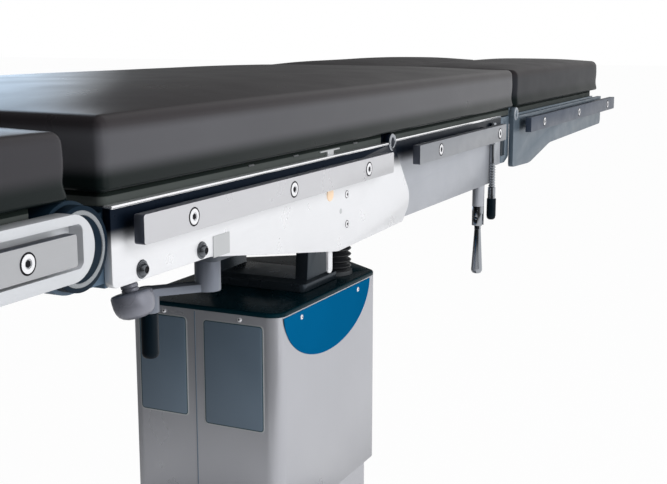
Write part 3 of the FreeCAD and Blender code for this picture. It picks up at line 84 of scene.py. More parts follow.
Point = tuple[float, float, float]
Colour = tuple[float, float, float]
Pair = tuple[float, float]
SIDES = (-1, 1)
REST_HEIGHT = "rest_height"
X_AXIS, Y_AXIS, Z_AXIS = Vector((1, 0, 0)), Vector((0, 1, 0)), Vector((0, 0, 1))


class Grain(Enum):
    """The direction or kind of fine surface texture that a finish shows."""

    PLAIN = "plain"
    ALONG_X = "brushed along the table"
    ALONG_Z = "brushed upright"
    COVER = "coated fabric"
    CAST = "bead blasted"
    MOULDED = "moulded"


GRAIN_SCALE = {
    Grain.PLAIN: (40.0, 40.0, 40.0),
    Grain.ALONG_X: (5.0, 1500.0, 1500.0),
    Grain.ALONG_Z: (1500.0, 1500.0, 5.0),
    Grain.COVER: (900.0, 900.0, 900.0),
    Grain.CAST: (1400.0, 1400.0, 1400.0),
    Grain.MOULDED: (700.0, 700.0, 700.0),
}
GRAIN_STRENGTH = 0.6
GLOSS_PATTERN = 3.1
COAT_ROUGHNESS = 0.12
LOWEST_ROUGHNESS = 0.02


class NodeGraph:
    """A material's node tree while it is being put together."""

    def __init__(self, owner: bpy.types.Material | bpy.types.World) -> None:
        """Start an empty node tree.

        Args:
            owner: The material or world that the tree belongs to.
        """
        owner.use_nodes = True
        self.tree = owner.node_tree
        self.tree.nodes.clear()

    def end_in_surface(self) -> tuple[bpy.types.Node, bpy.types.Node]:
        """Add a principled surface, joined to the material's output.

        Returns:
            The surface node and the output node.
        """
        surface = self.add("ShaderNodeBsdfPrincipled")
        output = self.add("ShaderNodeOutputMaterial")
        self.join(surface.outputs["BSDF"], output.inputs["Surface"])
        return surface, output

    def add(self, kind: str, **settings: object) -> bpy.types.Node:
        """Add a node and set its properties.

        Args:
            kind: The node's type name.
            **settings: Properties to set on it.

        Returns:
            The new node.
        """
        node = self.tree.nodes.new(kind)
        for key, value in settings.items():
            setattr(node, key, value)
        return node

    def join(self, start: bpy.types.NodeSocket, end: bpy.types.NodeSocket) -> None:
        """Link two sockets."""
        self.tree.links.new(start, end)

    def object_noise(self, scale: Point, size: float, detail: float) -> bpy.types.NodeSocket:
        """Noise on object coordinates, stretched along the axes.

        Args:
            scale: How fast the pattern runs along each axis.
            size: The noise node's own scale.
            detail: The number of octaves.

        Returns:
            The noise factor.
        """
        place = self.add("ShaderNodeTexCoord")
        mapping = self.add("ShaderNodeMapping")
        mapping.inputs["Scale"].default_value = scale
        pattern = self.add("ShaderNodeTexNoise")
        pattern.inputs["Scale"].default_value = size
        pattern.inputs["Detail"].default_value = detail
        self.join(place.outputs["Object"], mapping.inputs["Vector"])
        self.join(mapping.outputs["Vector"], pattern.inputs["Vector"])
        return pattern.outputs["Fac"]

    def spread(
        self, factor: bpy.types.NodeSocket, low: float, high: float
    ) -> bpy.types.NodeSocket:
        """Map the middle of a noise factor to a range of values.

        Args:
            factor: The noise factor.
            low: The value at the pattern's low end.
            high: The value at its high end.

        Returns:
            The mapped value.
        """
        node = self.add("ShaderNodeMapRange")
        node.inputs["From Min"].default_value = 0.3
        node.inputs["From Max"].default_value = 0.7
        node.inputs["To Min"].default_value = low
        node.inputs["To Max"].default_value = high
        self.join(factor, node.inputs["Value"])
        return node.outputs["Result"]

    def blend_colours(
        self, factor: bpy.types.NodeSocket, first: Colour, second: Colour
    ) -> bpy.types.NodeSocket:
        """Two colours mixed by a factor."""
        node = self.add("ShaderNodeMixRGB")
        node.inputs["Color1"].default_value = (*first, 1.0)
        node.inputs["Color2"].default_value = (*second, 1.0)
        self.join(factor, node.inputs["Fac"])
        return node.outputs["Color"]

    def height(self, attribute: str) -> bpy.types.NodeSocket:
        """The height that a colour changes with.

        Args:
            attribute: The mesh attribute that holds it, or nothing for the object's own Z.

        Returns:
            The height.
        """
        if attribute:
            return self.add("ShaderNodeAttribute", attribute_name=attribute).outputs["Fac"]
        place = self.add("ShaderNodeTexCoord")
        split = self.add("ShaderNodeSeparateXYZ")
        self.join(place.outputs["Object"], split.inputs["Vector"])
        return split.outputs["Z"]

    def fade(
        self, colour: bpy.types.NodeSocket, fade: "Fade", attribute: str
    ) -> bpy.types.NodeSocket:
        """A colour that turns to another one with height, as painted shade.

        Args:
            colour: The colour to start from.
            fade: The heights and the other colour.
            attribute: The mesh attribute that holds the height, or nothing for Z.

        Returns:
            The faded colour.
        """
        ramp = self.add("ShaderNodeMapRange", interpolation_type="SMOOTHSTEP")
        ramp.inputs["From Min"].default_value = fade.start
        ramp.inputs["From Max"].default_value = fade.end
        mix = self.add("ShaderNodeMixRGB")
        mix.inputs["Color2"].default_value = (*fade.colour, 1.0)
        self.join(self.height(attribute), ramp.inputs["Value"])
        self.join(ramp.outputs["Result"], mix.inputs["Fac"])
        self.join(colour, mix.inputs["Color1"])
        return mix.outputs["Color"]


@dataclass(frozen=True)
class Fade:
    """Painted shade: a change of colour with height, such as the darker lower sides of a cover."""

    start: float
    end: float
    colour: Colour


@dataclass(frozen=True)
class Finish:
    """A finish: its colour, gloss, the fine texture that the real one shows and any painted shade.
    """

    name: str
    slot: str
    colour: Colour
    metallic: float = 0.0
    roughness: float = 0.4
    uneven_gloss: float = 0.06
    mottle: float = 0.06
    mottle_scale: float = 9.0
    grain: Grain = Grain.PLAIN
    grain_height: float = 0.00004
    grain_tint: float = 0.0
    specular: float = 0.5
    coat: float = 0.0
    sheen: float = 0.0
    painted_shades: tuple[Fade, ...] = ()
    height_attribute: str = ""

    def shade(self, amount: float) -> Colour:
        """The colour made lighter or darker by a share."""
        return tuple(min(1.0, channel * (1.0 + amount)) for channel in self.colour)

    def build(self) -> bpy.types.Material:
        """Make the material.

        Returns:
            The finished node material.
        """
        material = bpy.data.materials.new(self.name)
        graph = NodeGraph(material)
        surface = graph.end_in_surface()[0].inputs
        surface["Metallic"].default_value = self.metallic
        surface["Specular IOR Level"].default_value = self.specular
        surface["Coat Weight"].default_value = self.coat
        surface["Coat Roughness"].default_value = COAT_ROUGHNESS
        surface["Sheen Weight"].default_value = self.sheen
        broad = graph.object_noise((1.0, 1.0, 1.0), self.mottle_scale, 3.0)
        fine = graph.object_noise(GRAIN_SCALE[self.grain], 1.0, 2.0)
        tint = graph.add("ShaderNodeMath", operation="MULTIPLY_ADD")
        tint.inputs[1].default_value = self.grain_tint
        graph.join(fine, tint.inputs[0])
        graph.join(broad, tint.inputs[2])
        pattern = graph.spread(tint.outputs[0], 0.0, 1.0)
        colour = graph.blend_colours(pattern, self.shade(-self.mottle), self.shade(self.mottle))
        # Painted shade: the colour turns darker past given heights.
        for fade in self.painted_shades:
            colour = graph.fade(colour, fade, self.height_attribute)
        graph.join(colour, surface["Base Color"])
        gloss = graph.object_noise((1.0, 1.0, 1.0), self.mottle_scale * GLOSS_PATTERN, 4.0)
        low = max(LOWEST_ROUGHNESS, self.roughness - self.uneven_gloss)
        rough = graph.spread(gloss, low, self.roughness + self.uneven_gloss)
        graph.join(rough, surface["Roughness"])
        bump = graph.add("ShaderNodeBump")
        bump.inputs["Strength"].default_value = GRAIN_STRENGTH
        bump.inputs["Distance"].default_value = self.grain_height
        graph.join(fine, bump.inputs["Height"])
        graph.join(bump.outputs["Normal"], surface["Normal"])
        return material


class Faces(Enum):
    """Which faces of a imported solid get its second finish."""

    # Painted shade: a rail's faces that don't face across the table are darker.
    SHADED_RAIL_FACES = "a rail's top, bottom and ends"
    HINGE_BOSS = "the round boss beside the arm"
    LEG_RAIL = "the rail along a leg arm"

    def holds(self, face: bpy.types.MeshPolygon) -> bool:
        """Whether a face is one of them."""
        if self is Faces.SHADED_RAIL_FACES:
            return abs(face.normal.y) < 0.5
        if self is Faces.LEG_RAIL:
            return abs(face.center.y) > 0.2690
        return abs(face.center.y) < 0.2612 and face.center.x > -0.81


class Finishes:
    """Every finish of the table, each built once."""

    cover = Finish(
        "black_cover", "mattress", (0.070, 0.070, 0.077), roughness=0.30, uneven_gloss=0.03,
        mottle=0.04, mottle_scale=5.0, grain=Grain.COVER, grain_height=0.00004, specular=0.09,
        coat=0.10, height_attribute=REST_HEIGHT,
        # Painted shade: the lower sides and the top turn darker than the lit sides.
        painted_shades=(
            Fade(0.865, 0.850, (0.005, 0.008, 0.008)),
            Fade(0.884, 0.897, (0.022, 0.019, 0.021)),
        ),
    )
    head_cover = replace(cover, name="head_cover", colour=(0.034, 0.033, 0.037))
    leg_cover = replace(
        cover, name="leg_cover", colour=(0.022, 0.023, 0.027), coat=0.0, specular=0.03
    )
    board = Finish(
        "board_laminate", "board", (0.056, 0.063, 0.060), roughness=0.6, grain=Grain.MOULDED,
        # Painted shadow: the board's upper part turns near black under the cushion.
        specular=0.04, painted_shades=(Fade(0.8356, 0.8364, (0.006, 0.009, 0.008)),),
    )
    plate = Finish(
        "brushed_plate", "plate_steel", (0.73, 0.735, 0.755), metallic=0.5, roughness=0.32,
        grain=Grain.ALONG_X, grain_height=0.00002, grain_tint=0.3, mottle=0.03, specular=0.12,
        # Painted shade and reflection: a dark band along the plate's top, under the lip and
        # cushion.
        painted_shades=(Fade(0.794, 0.811, (0.004, 0.008, 0.016)),),
    )
    lip = Finish(
        "polished_lip", "plate_steel", (0.95, 0.95, 0.97), metallic=0.8, roughness=0.16,
        uneven_gloss=0.03, grain=Grain.ALONG_X, grain_height=0.000004, mottle=0.02,
    )
    seat_plate = Finish(
        "satin_plate", "plate_steel", (0.385, 0.40, 0.435), metallic=0.5, roughness=0.36,
        grain=Grain.ALONG_X, grain_height=0.00002, grain_tint=0.3, mottle=0.05, specular=0.12,
        # Painted shade and reflection: a dark band along the plate's top, under the lip and
        # cushion.
        painted_shades=(Fade(0.796, 0.813, (0.004, 0.008, 0.016)),),
    )
    rail = Finish(
        "satin_rail", "rail_steel", (0.51, 0.51, 0.53), metallic=0.5, roughness=0.32,
        grain=Grain.ALONG_X, grain_height=0.00003, grain_tint=0.5, mottle=0.03,
    )
    head_rail = replace(rail, name="head_rail_steel", colour=(0.37, 0.375, 0.39))
    # Painted shade: the rails' top, bottom and end faces are darker than their outer faces.
    rail_edge = Finish(
        "rail_edge_painted_shade", "rail_steel", (0.08, 0.088, 0.11), metallic=0.6, roughness=0.35,
        grain=Grain.ALONG_X, grain_height=0.00003, specular=0.1,
    )
    seat_rail = Finish(
        "grey_rail", "rail_steel", (0.225, 0.235, 0.257), metallic=0.5, roughness=0.34,
        grain=Grain.ALONG_X, grain_height=0.00003, grain_tint=0.5, mottle=0.03,
    )
    alloy = Finish(
        "blue_grey_alloy", "frame_alloy", (0.115, 0.151, 0.188), metallic=0.45, roughness=0.42,
        grain=Grain.CAST, grain_height=0.00002, mottle=0.05,
    )
    leg_rail = replace(alloy, name="leg_rail_alloy", colour=(0.050, 0.066, 0.098))
    beam = Finish(
        "dark_beam", "frame_alloy", (0.080, 0.122, 0.172), metallic=0.35, roughness=0.45,
        grain=Grain.CAST, grain_height=0.00002, mottle=0.05, specular=0.2,
        # Painted shade: darker towards the top, under the plates and the cushion.
        painted_shades=(Fade(0.770, 0.812, (0.008, 0.020, 0.034)),),
    )
    # Painted shade: the boss face beside the arm is near black.
    boss = Finish(
        "boss_painted_shade", "head_casting", (0.006, 0.013, 0.022), roughness=0.4,
        grain=Grain.CAST, grain_height=0.00002, specular=0.04,
    )
    # Painted highlight: a lighter ring on each boss's rounded rim.
    boss_ring_highlight = Finish(
        "boss_ring_highlight", "head_casting", (0.30, 0.32, 0.34), metallic=0.8, roughness=0.25,
    )
    # Dark parts, made near black as painted shade under the table.
    shaded = Finish(
        "hanger_painted_shade", "frame_alloy", (0.012, 0.02, 0.027), metallic=0.2, roughness=0.4,
        grain=Grain.CAST, grain_height=0.00002, specular=0.2,
    )
    casting = Finish(
        "silver_casting", "head_casting", (0.56, 0.575, 0.60), metallic=0.4, roughness=0.40,
        grain=Grain.CAST, grain_height=0.00003, mottle=0.03,
    )
    column = Finish(
        "brushed_column", "column_skin", (0.43, 0.435, 0.465), metallic=0.5, roughness=0.32,
        grain=Grain.ALONG_Z, grain_height=0.00003, grain_tint=0.45, mottle=0.04, mottle_scale=3.0,
    )
    cap = Finish(
        "gloss_cap", "cap_plastic", (0.0015, 0.014, 0.020), roughness=0.26, uneven_gloss=0.03,
        grain=Grain.MOULDED, grain_height=0.000005, specular=0.05,
    )
    machined = Finish(
        "machined_alloy", "machined_alloy", (0.42, 0.44, 0.47), metallic=0.7, roughness=0.32,
        grain=Grain.ALONG_Z, grain_height=0.00001, mottle=0.05,
    )
    # Dark parts, made near black as painted shade under the table.
    cross = Finish(
        "cross_painted_shade", "machined_alloy", (0.03, 0.04, 0.05), metallic=0.6, roughness=0.3,
        grain=Grain.CAST, grain_height=0.00001,
    )
    housing = Finish(
        "grey_housing", "housing", (0.085, 0.095, 0.112), metallic=0.1, roughness=0.42,
        grain=Grain.CAST, grain_height=0.00004, specular=0.12,
    )
    knob = Finish(
        "knob_grey", "housing", (0.21, 0.215, 0.25), metallic=0.4, roughness=0.30,
        grain=Grain.CAST, grain_height=0.00003,
    )
    crank = Finish(
        "satin_crank", "lever_steel", (0.17, 0.185, 0.22), metallic=0.4, roughness=0.36,
        grain=Grain.CAST, grain_height=0.00001, specular=0.25,
    )
    polished = Finish(
        "polished_lever", "lever_steel", (0.36, 0.38, 0.41), metallic=1.0, roughness=0.14,
        uneven_gloss=0.04, grain=Grain.ALONG_Z, grain_height=0.000006,
    )
    screw = Finish("screw_steel", "rail_steel", (0.82, 0.82, 0.84), metallic=0.6, roughness=0.24)
    bolt = Finish("dark_bolt", "rail_steel", (0.14, 0.15, 0.165), metallic=0.9, roughness=0.22)
    # Painted shade: near black for the sockets' recesses and the rings around screw heads.
    socket = Finish(
        "socket_painted_shade", "rail_steel", (0.008, 0.008, 0.010), metallic=0.2, roughness=0.6,
        specular=0.1,
    )
    black_plastic = Finish(
        "black_plastic", "grip_plastic", (0.002, 0.006, 0.010), roughness=0.32, specular=0.1,
        grain=Grain.MOULDED, grain_height=0.00002,
    )
    rubber = Finish(
        "bellows_rubber", "bellows_rubber", (0.012, 0.013, 0.015), roughness=0.42,
        grain=Grain.MOULDED, grain_height=0.00003,
    )
    foot = Finish(
        "foot_rubber", "foot_rubber", (0.04, 0.04, 0.042), roughness=0.7, grain=Grain.MOULDED,
    )
    tyre = Finish(
        "grey_tyre", "wheel_tyre", (0.12, 0.12, 0.13), roughness=0.6, grain=Grain.MOULDED,
    )
    castor = Finish(
        "castor_plastic", "castor_plastic", (0.08, 0.08, 0.085), roughness=0.4,
        grain=Grain.MOULDED,
    )
    chassis = Finish(
        "painted_chassis", "chassis", (0.10, 0.105, 0.11), metallic=0.2, roughness=0.5,
        grain=Grain.CAST, grain_height=0.00005,
    )
    actuator = Finish(
        "dark_actuator", "actuator", (0.06, 0.065, 0.07), metallic=0.3, roughness=0.36,
        grain=Grain.CAST,
    )
    badge = Finish(
        "blue_badge", "column_skin", (0.001, 0.098, 0.235), roughness=0.34, uneven_gloss=0.02,
        specular=0.0, mottle=0.02, grain_height=0.00001,
    )
    label = Finish(
        "grey_label", "column_skin", (0.135, 0.185, 0.24), metallic=0.2, roughness=0.34,
        mottle=0.03,
    )
    label_border = Finish(
        "label_border", "column_skin", (0.035, 0.07, 0.085), roughness=0.4, specular=0.3,
    )
    blank = Finish(
        "blank_plate", "plate_steel", (0.50, 0.51, 0.52), metallic=0.5, roughness=0.42,
    )
    stud = replace(blank, name="faint_stud", colour=(0.11, 0.115, 0.12))
    hinge_ring = replace(blank, name="hinge_ring", colour=(0.33, 0.36, 0.40), roughness=0.3)
    bronze = Finish(
        "bronze_bush", "machined_alloy", (0.88, 0.66, 0.47), metallic=0.5, roughness=0.3,
    )

    _built: dict[str, bpy.types.Material] = {}

    @classmethod
    def material(cls, finish: Finish) -> bpy.types.Material:
        """The finish's material, made the first time that it is asked for."""
        if finish.name not in cls._built:
            cls._built[finish.name] = finish.build()
        return cls._built[finish.name]


class Bench:
    """Small mesh-making steps that the sub-assemblies share."""

    @staticmethod
    def facing(centre: Sequence[float], normal: Vector) -> Matrix:
        """A frame at a point whose Z axis is the given normal."""
        turn = normal.to_track_quat("Z", "Y").to_matrix().to_4x4()
        return Matrix.Translation(Vector(centre)) @ turn

    @staticmethod
    def block(bm: bmesh.types.BMesh, low: Sequence[float], high: Sequence[float]) -> list:
        """Add a box between two corners.

        Args:
            bm: The mesh to add to.
            low: The lowest corner.
            high: The highest corner.

        Returns:
            The new vertices.
        """
        low, high = Vector(low), Vector(high)
        size = high - low
        matrix = Matrix.Translation((low + high) / 2) @ Matrix.Diagonal((*size, 1.0))
        return bmesh.ops.create_cube(bm, size=1.0, matrix=matrix)["verts"]

    @staticmethod
    def edges_of(verts: Iterable) -> list:
        """Every edge that joins two of the given vertices."""
        chosen = set(verts)
        return list({e for v in chosen for e in v.link_edges if e.other_vert(v) in chosen})

    @staticmethod
    def bevel(bm: bmesh.types.BMesh, edges: list, width: float, segments: int) -> list:
        """Round the given edges.

        Args:
            bm: The mesh.
            edges: The edges to round.
            width: The size of the rounding.
            segments: How many faces it gets.

        Returns:
            The new faces.
        """
        made = bmesh.ops.bevel(
            bm, geom=edges, offset=width, segments=segments, profile=0.5, affect="EDGES",
            material=-1, clamp_overlap=True,
        )
        return made["faces"]

    @staticmethod
    def lathe(
        bm: bmesh.types.BMesh, profile: Sequence[tuple[float, float]], matrix: Matrix, steps: int
    ) -> None:
        """Spin a profile of radius and height about the Z axis of a frame.

        Args:
            bm: The mesh to add to.
            profile: Pairs of radius and height.
            matrix: The frame.
            steps: How many sides the turned shape gets.
        """
        start = [bm.verts.new(matrix @ Vector((r, 0.0, h))) for r, h in profile]
        edges = [bm.edges.new(pair) for pair in zip(start, start[1:])]
        bmesh.ops.spin(
            bm, geom=start + edges, cent=matrix.translation, axis=matrix.to_3x3() @ Z_AXIS,
            angle=math.tau, steps=steps, use_merge=True,
        )
        bmesh.ops.remove_doubles(bm, verts=bm.verts[:], dist=1e-6)

    @staticmethod
    def finish_piece(
        name: str, bm: bmesh.types.BMesh, finish: Finish, body: str = "", smooth: float = 40.0
    ) -> bpy.types.Object:
        """Turn a mesh under construction into a piece, riding on a body if one is named.

        Args:
            name: The piece's name.
            bm: The mesh, which is freed.
            finish: Its finish.
            body: The body that it rides on, or nothing for a piece that rides on none.
            smooth: Edges sharper than this many degrees stay sharp.

        Returns:
            The new object.
        """
        bmesh.ops.recalc_face_normals(bm, faces=bm.faces[:])
        mesh = bpy.data.meshes.new(name)
        bm.to_mesh(mesh)
        bm.free()
        mesh.shade_smooth()
        mesh.set_sharp_from_angle(angle=math.radians(smooth))
        mesh.materials.append(Finishes.material(finish))
        piece = bpy.data.objects.new(name, mesh)
        bpy.context.scene.collection.objects.link(piece)
        if body:
            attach(piece, body)
        log.info("%s: %d faces on %s", name, len(mesh.polygons), body or "two bodies")
        return piece

    @staticmethod
    def rounded_copy(
        node: str, body: str, finish: Finish, width: float,
        second: tuple[Finish, Faces] | None = None,
    ) -> bpy.types.Object:
        """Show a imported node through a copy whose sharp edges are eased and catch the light.

        Args:
            node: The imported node.
            body: The body that it belongs to.
            finish: The copy's finish.
            width: How far the edges are eased.
            second: Another finish and the faces that it goes on.

        Returns:
            The copy, which stands for the node.
        """
        bm = bmesh.new()
        bm.from_mesh(bpy.data.objects[node].data)
        bmesh.ops.remove_doubles(bm, verts=bm.verts[:], dist=2e-6)
        bmesh.ops.dissolve_limit(
            bm, angle_limit=math.radians(0.6), verts=bm.verts[:], edges=bm.edges[:]
        )
        mesh = bpy.data.meshes.new(node + "_eased")
        bm.to_mesh(mesh)
        bm.free()
        mesh.shade_smooth()
        mesh.materials.append(Finishes.material(finish))
        if second:
            mesh.materials.append(Finishes.material(second[0]))
            for face in mesh.polygons:
                face.material_index = int(second[1].holds(face))
        piece = bpy.data.objects.new(node + "_eased", mesh)
        bpy.context.scene.collection.objects.link(piece)
        ease = piece.modifiers.new("ease", "BEVEL")
        ease.width = width
        ease.segments = 2
        ease.limit_method = "ANGLE"
        ease.angle_limit = math.radians(38.0)
        ease.harden_normals = True
        ease.miter_outer = "MITER_ARC"
        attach(piece, body)
        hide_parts(node)
        return piece


@dataclass
class Cushion:
    """A foam pad in a coated cover, crowned on top and pulled in between its corners."""

    name: str
    low: Point
    high: Point
    corner: float = 0.009
    upper: float = 0.008
    lower: float = 0.005
    crown: float = 0.013
    lean: float = 0.25
    pull: float = 0.0012
    bulge: float = 0.0015
    tuck: float = 0.0040
    spacing: float = 0.032
    seed: float = 1.7
    cover: Finish = Finishes.cover

    def cut_into_grid(self, bm: bmesh.types.BMesh) -> None:
        """Cut the block along and across, so that its faces can follow a curve."""
        for axis in range(3):
            normal = (X_AXIS, Y_AXIS, Z_AXIS)[axis]
            span = self.high[axis] - self.low[axis]
            step = self.spacing if axis < 2 else 0.007
            count = max(2, round(span / step))
            for n in range(1, count):
                place = [0.0, 0.0, 0.0]
                place[axis] = self.low[axis] + span * n / count
                bmesh.ops.bisect_plane(
                    bm, geom=bm.verts[:] + bm.edges[:] + bm.faces[:], plane_co=place,
                    plane_no=normal, dist=1e-6,
                )

    def sculpt(self, vert: bmesh.types.BMVert) -> None:
        """Move one point to where the stretched cover holds it."""
        x, y, z = vert.co
        u = 2 * (x - self.low[0]) / (self.high[0] - self.low[0]) - 1
        v = 2 * (y - self.low[1]) / (self.high[1] - self.low[1]) - 1
        h = (z - self.low[2]) / (self.high[2] - self.low[2])
        fall = (1 - abs(u) ** 6) * (1 - abs(v) ** 4)
        ripple = noise.noise(Vector((x * 9, y * 9, z * 9 + self.seed)))
        fine = noise.noise(Vector((x * 31, y * 31, z * 31 - self.seed)))
        crown = self.crown * (1 - self.lean * u)
        vert.co.z += h * h * fall * (crown + 0.0007 * ripple)
        belly = math.sin(math.pi * min(1.0, max(0.0, h)))
        hem = (1 - h) ** 4
        for axis, along, across in ((1, u, v), (0, v, u)):
            if abs(across) < 0.8:
                continue
            hold = (abs(across) - 0.8) / 0.2
            shift = self.bulge * belly - self.pull * (1 - along ** 2) - self.tuck * hem
            vert.co[axis] += math.copysign(hold * (shift + 0.0005 * fine * belly), across)

    def build(self, body: str, nodes: Sequence[str]) -> bpy.types.Object:
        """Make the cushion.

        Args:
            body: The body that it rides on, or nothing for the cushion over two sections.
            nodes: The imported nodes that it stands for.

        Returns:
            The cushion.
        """
        bm = bmesh.new()
        verts = Bench.block(bm, self.low, self.high)
        edges = Bench.edges_of(verts)
        upright = [e for e in edges if abs(e.verts[0].co.z - e.verts[1].co.z) > 1e-4]
        Bench.bevel(bm, upright, self.corner, 8)
        top = [e for e in bm.edges if all(abs(v.co.z - self.high[2]) < 1e-5 for v in e.verts)]
        Bench.bevel(bm, top, self.upper, 6)
        bottom = [e for e in bm.edges if all(abs(v.co.z - self.low[2]) < 1e-5 for v in e.verts)]
        Bench.bevel(bm, bottom, self.lower, 3)
        self.cut_into_grid(bm)
        for vert in bm.verts:
            self.sculpt(vert)
        piece = Bench.finish_piece(self.name, bm, self.cover, body, smooth=75.0)
        # The heights at rest place the cover's painted shade.
        heights = piece.data.attributes.new(REST_HEIGHT, "FLOAT", "POINT")
        heights.data.foreach_set("value", [vert.co.z for vert in piece.data.vertices])
        soften = piece.modifiers.new("soften", "SUBSURF")
        soften.levels = soften.render_levels = 1
        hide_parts(*nodes)
        return piece


@dataclass
class Mattress:
    """All cushions: head, the long one over back and seat, and the two leg cushions."""

    pivot: Point = (-0.144, 0.0, 0.829)
    fold_half: float = 0.054
    main_overhang: float = 0.008
    leg_overhang: float = 0.006

    def span(self, *nodes: str, rise: float = 0.005) -> tuple[Point, Point]:
        """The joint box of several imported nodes, with the foam standing a little higher.

        Args:
            nodes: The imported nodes.
            rise: How far the soft top stands above them.

        Returns:
            The lowest and highest corners.
        """
        lows, highs = zip(*(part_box(node) for node in nodes))
        low = [min(corner[axis] for corner in lows) for axis in range(3)]
        high = [max(corner[axis] for corner in highs) for axis in range(3)]
        high[2] += rise
        return tuple(low), tuple(high)

    def build(self) -> None:
        """Make every cushion."""
        low, high = self.span("back_pad", "seat_pad", "mattress_fold")
        low = (low[0] - self.main_overhang, low[1], low[2])
        long_pad = Cushion("main_cushion", low, high, spacing=0.03)
        piece = long_pad.build("", ("back_pad", "seat_pad", "mattress_fold"))
        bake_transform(piece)
        low, high = self.span("head_pad")
        head = Cushion("head_cushion", low, high, seed=4.2, cover=Finishes.head_cover)
        head.build("head", ("head_pad",))
        for side in ("right", "left"):
            low, high = self.span("leg_pad_" + side, rise=0.009)
            high = (high[0] + self.leg_overhang, high[1], high[2])
            leg = Cushion(
                "leg_cushion_" + side, low, high, corner=0.014, upper=0.010, crown=0.008,
                lean=0.0, seed=7.0 + low[1], cover=Finishes.leg_cover,
            )
            leg.build("leg_" + side, ("leg_pad_" + side,))


@dataclass
class SocketScrew:
    """A screw head with a hexagon socket."""

    radius: float = 0.0058
    height: float = 0.0006
    socket: float = 0.0024
    depth: float = 0.0022
    dome: float = 0.0

    def add(self, heads: bmesh.types.BMesh, sockets: bmesh.types.BMesh, place: Matrix) -> None:
        """Add one screw.

        Args:
            heads: The mesh of the bright heads.
            sockets: The mesh of the dark sockets.
            place: A frame on the surface, Z pointing out.
        """
        rim = self.socket * 1.18
        top = self.height + self.dome
        profile = [
            (self.radius, -0.0002),
            (self.radius, self.height * 0.6),
            (self.radius * 0.93, self.height),
            (self.radius * 0.7, self.height + self.dome * 0.75),
            (rim, top),
            (rim * 0.96, top - self.depth),
        ]
        Bench.lathe(heads, profile, place, 28)
        # The dark socket inside the head paints the shade of its recess.
        floor = place @ Matrix.Translation((0, 0, top - self.depth * 0.55))
        bmesh.ops.create_cone(
            sockets, cap_ends=True, cap_tris=False, segments=6, radius1=self.socket,
            radius2=self.socket * 0.9, depth=self.depth * 0.7, matrix=floor,
        )


@dataclass
class SideRails:
    """The screws that hold each accessory rail to its spacers."""

    outer: float = 0.280
    height: float = 0.8095
    head_height: float = 0.808
    runs: dict[str, tuple[str, tuple[float, ...]]] = field(
        default_factory=lambda: {
            "back": ("back", (-0.6395, -0.452, -0.2645)),
            "seat": ("seat", (-0.024, 0.240)),
            "head": ("head", (-0.976, -0.854)),
            "leg_right": ("leg_right", (0.500, 0.755, 1.010)),
            "leg_left": ("leg_left", (0.500, 0.755, 1.010)),
        }
    )

    def build(self) -> None:
        """Make the screws of every rail."""
        screw = SocketScrew(radius=0.0070, socket=0.0032)
        # The dark ring around each head is a painted shadow.
        ring = [(0.0066, 0.0001), (0.0071, 0.0003), (0.0084, 0.00025), (0.0086, -0.0002)]
        for run, (body, places) in self.runs.items():
            heads, sockets = bmesh.new(), bmesh.new()
            height = self.head_height if run == "head" else self.height
            for side in SIDES:
                if run.endswith("right") and side > 0 or run.endswith("left") and side < 0:
                    continue
                for x in places:
                    spot = (x, self.outer * side, height)
                    place = Bench.facing(spot, Y_AXIS * side)
                    screw.add(heads, sockets, place)
                    Bench.lathe(sockets, ring, place, 32)
            Bench.finish_piece(run + "_rail_screws", heads, Finishes.screw, body)
            Bench.finish_piece(run + "_rail_sockets", sockets, Finishes.socket, body)


@dataclass
class PlateLips:
    """The polished rolled edges along the top of the side plates."""

    low: float = 0.8266
    high: float = 0.8298

    def edge(self, name: str, body: str, along: Pair, across: Pair, round_over: float) -> None:
        """One pair of edges.

        Args:
            name: The piece's name.
            body: The body that it rides on.
            along: Where it starts and ends along the table.
            across: Its inner and outer faces' distances from the middle.
            round_over: The radius of its edges.
        """
        bm = bmesh.new()
        for side in SIDES:
            near, far = sorted(distance * side for distance in across)
            verts = Bench.block(bm, (along[0], near, self.low), (along[1], far, self.high))
            Bench.bevel(bm, Bench.edges_of(verts), round_over, 4)
        Bench.finish_piece(name, bm, Finishes.lip, body)

    def build(self) -> None:
        """Make the edges of the back and seat plates."""
        self.edge("back_plate_lips", "back", (-0.729, -0.158), (0.2504, 0.2600), 0.0013)
        self.edge("seat_plate_lips", "seat", (-0.126, 0.338), (0.2440, 0.25025), 0.0003)


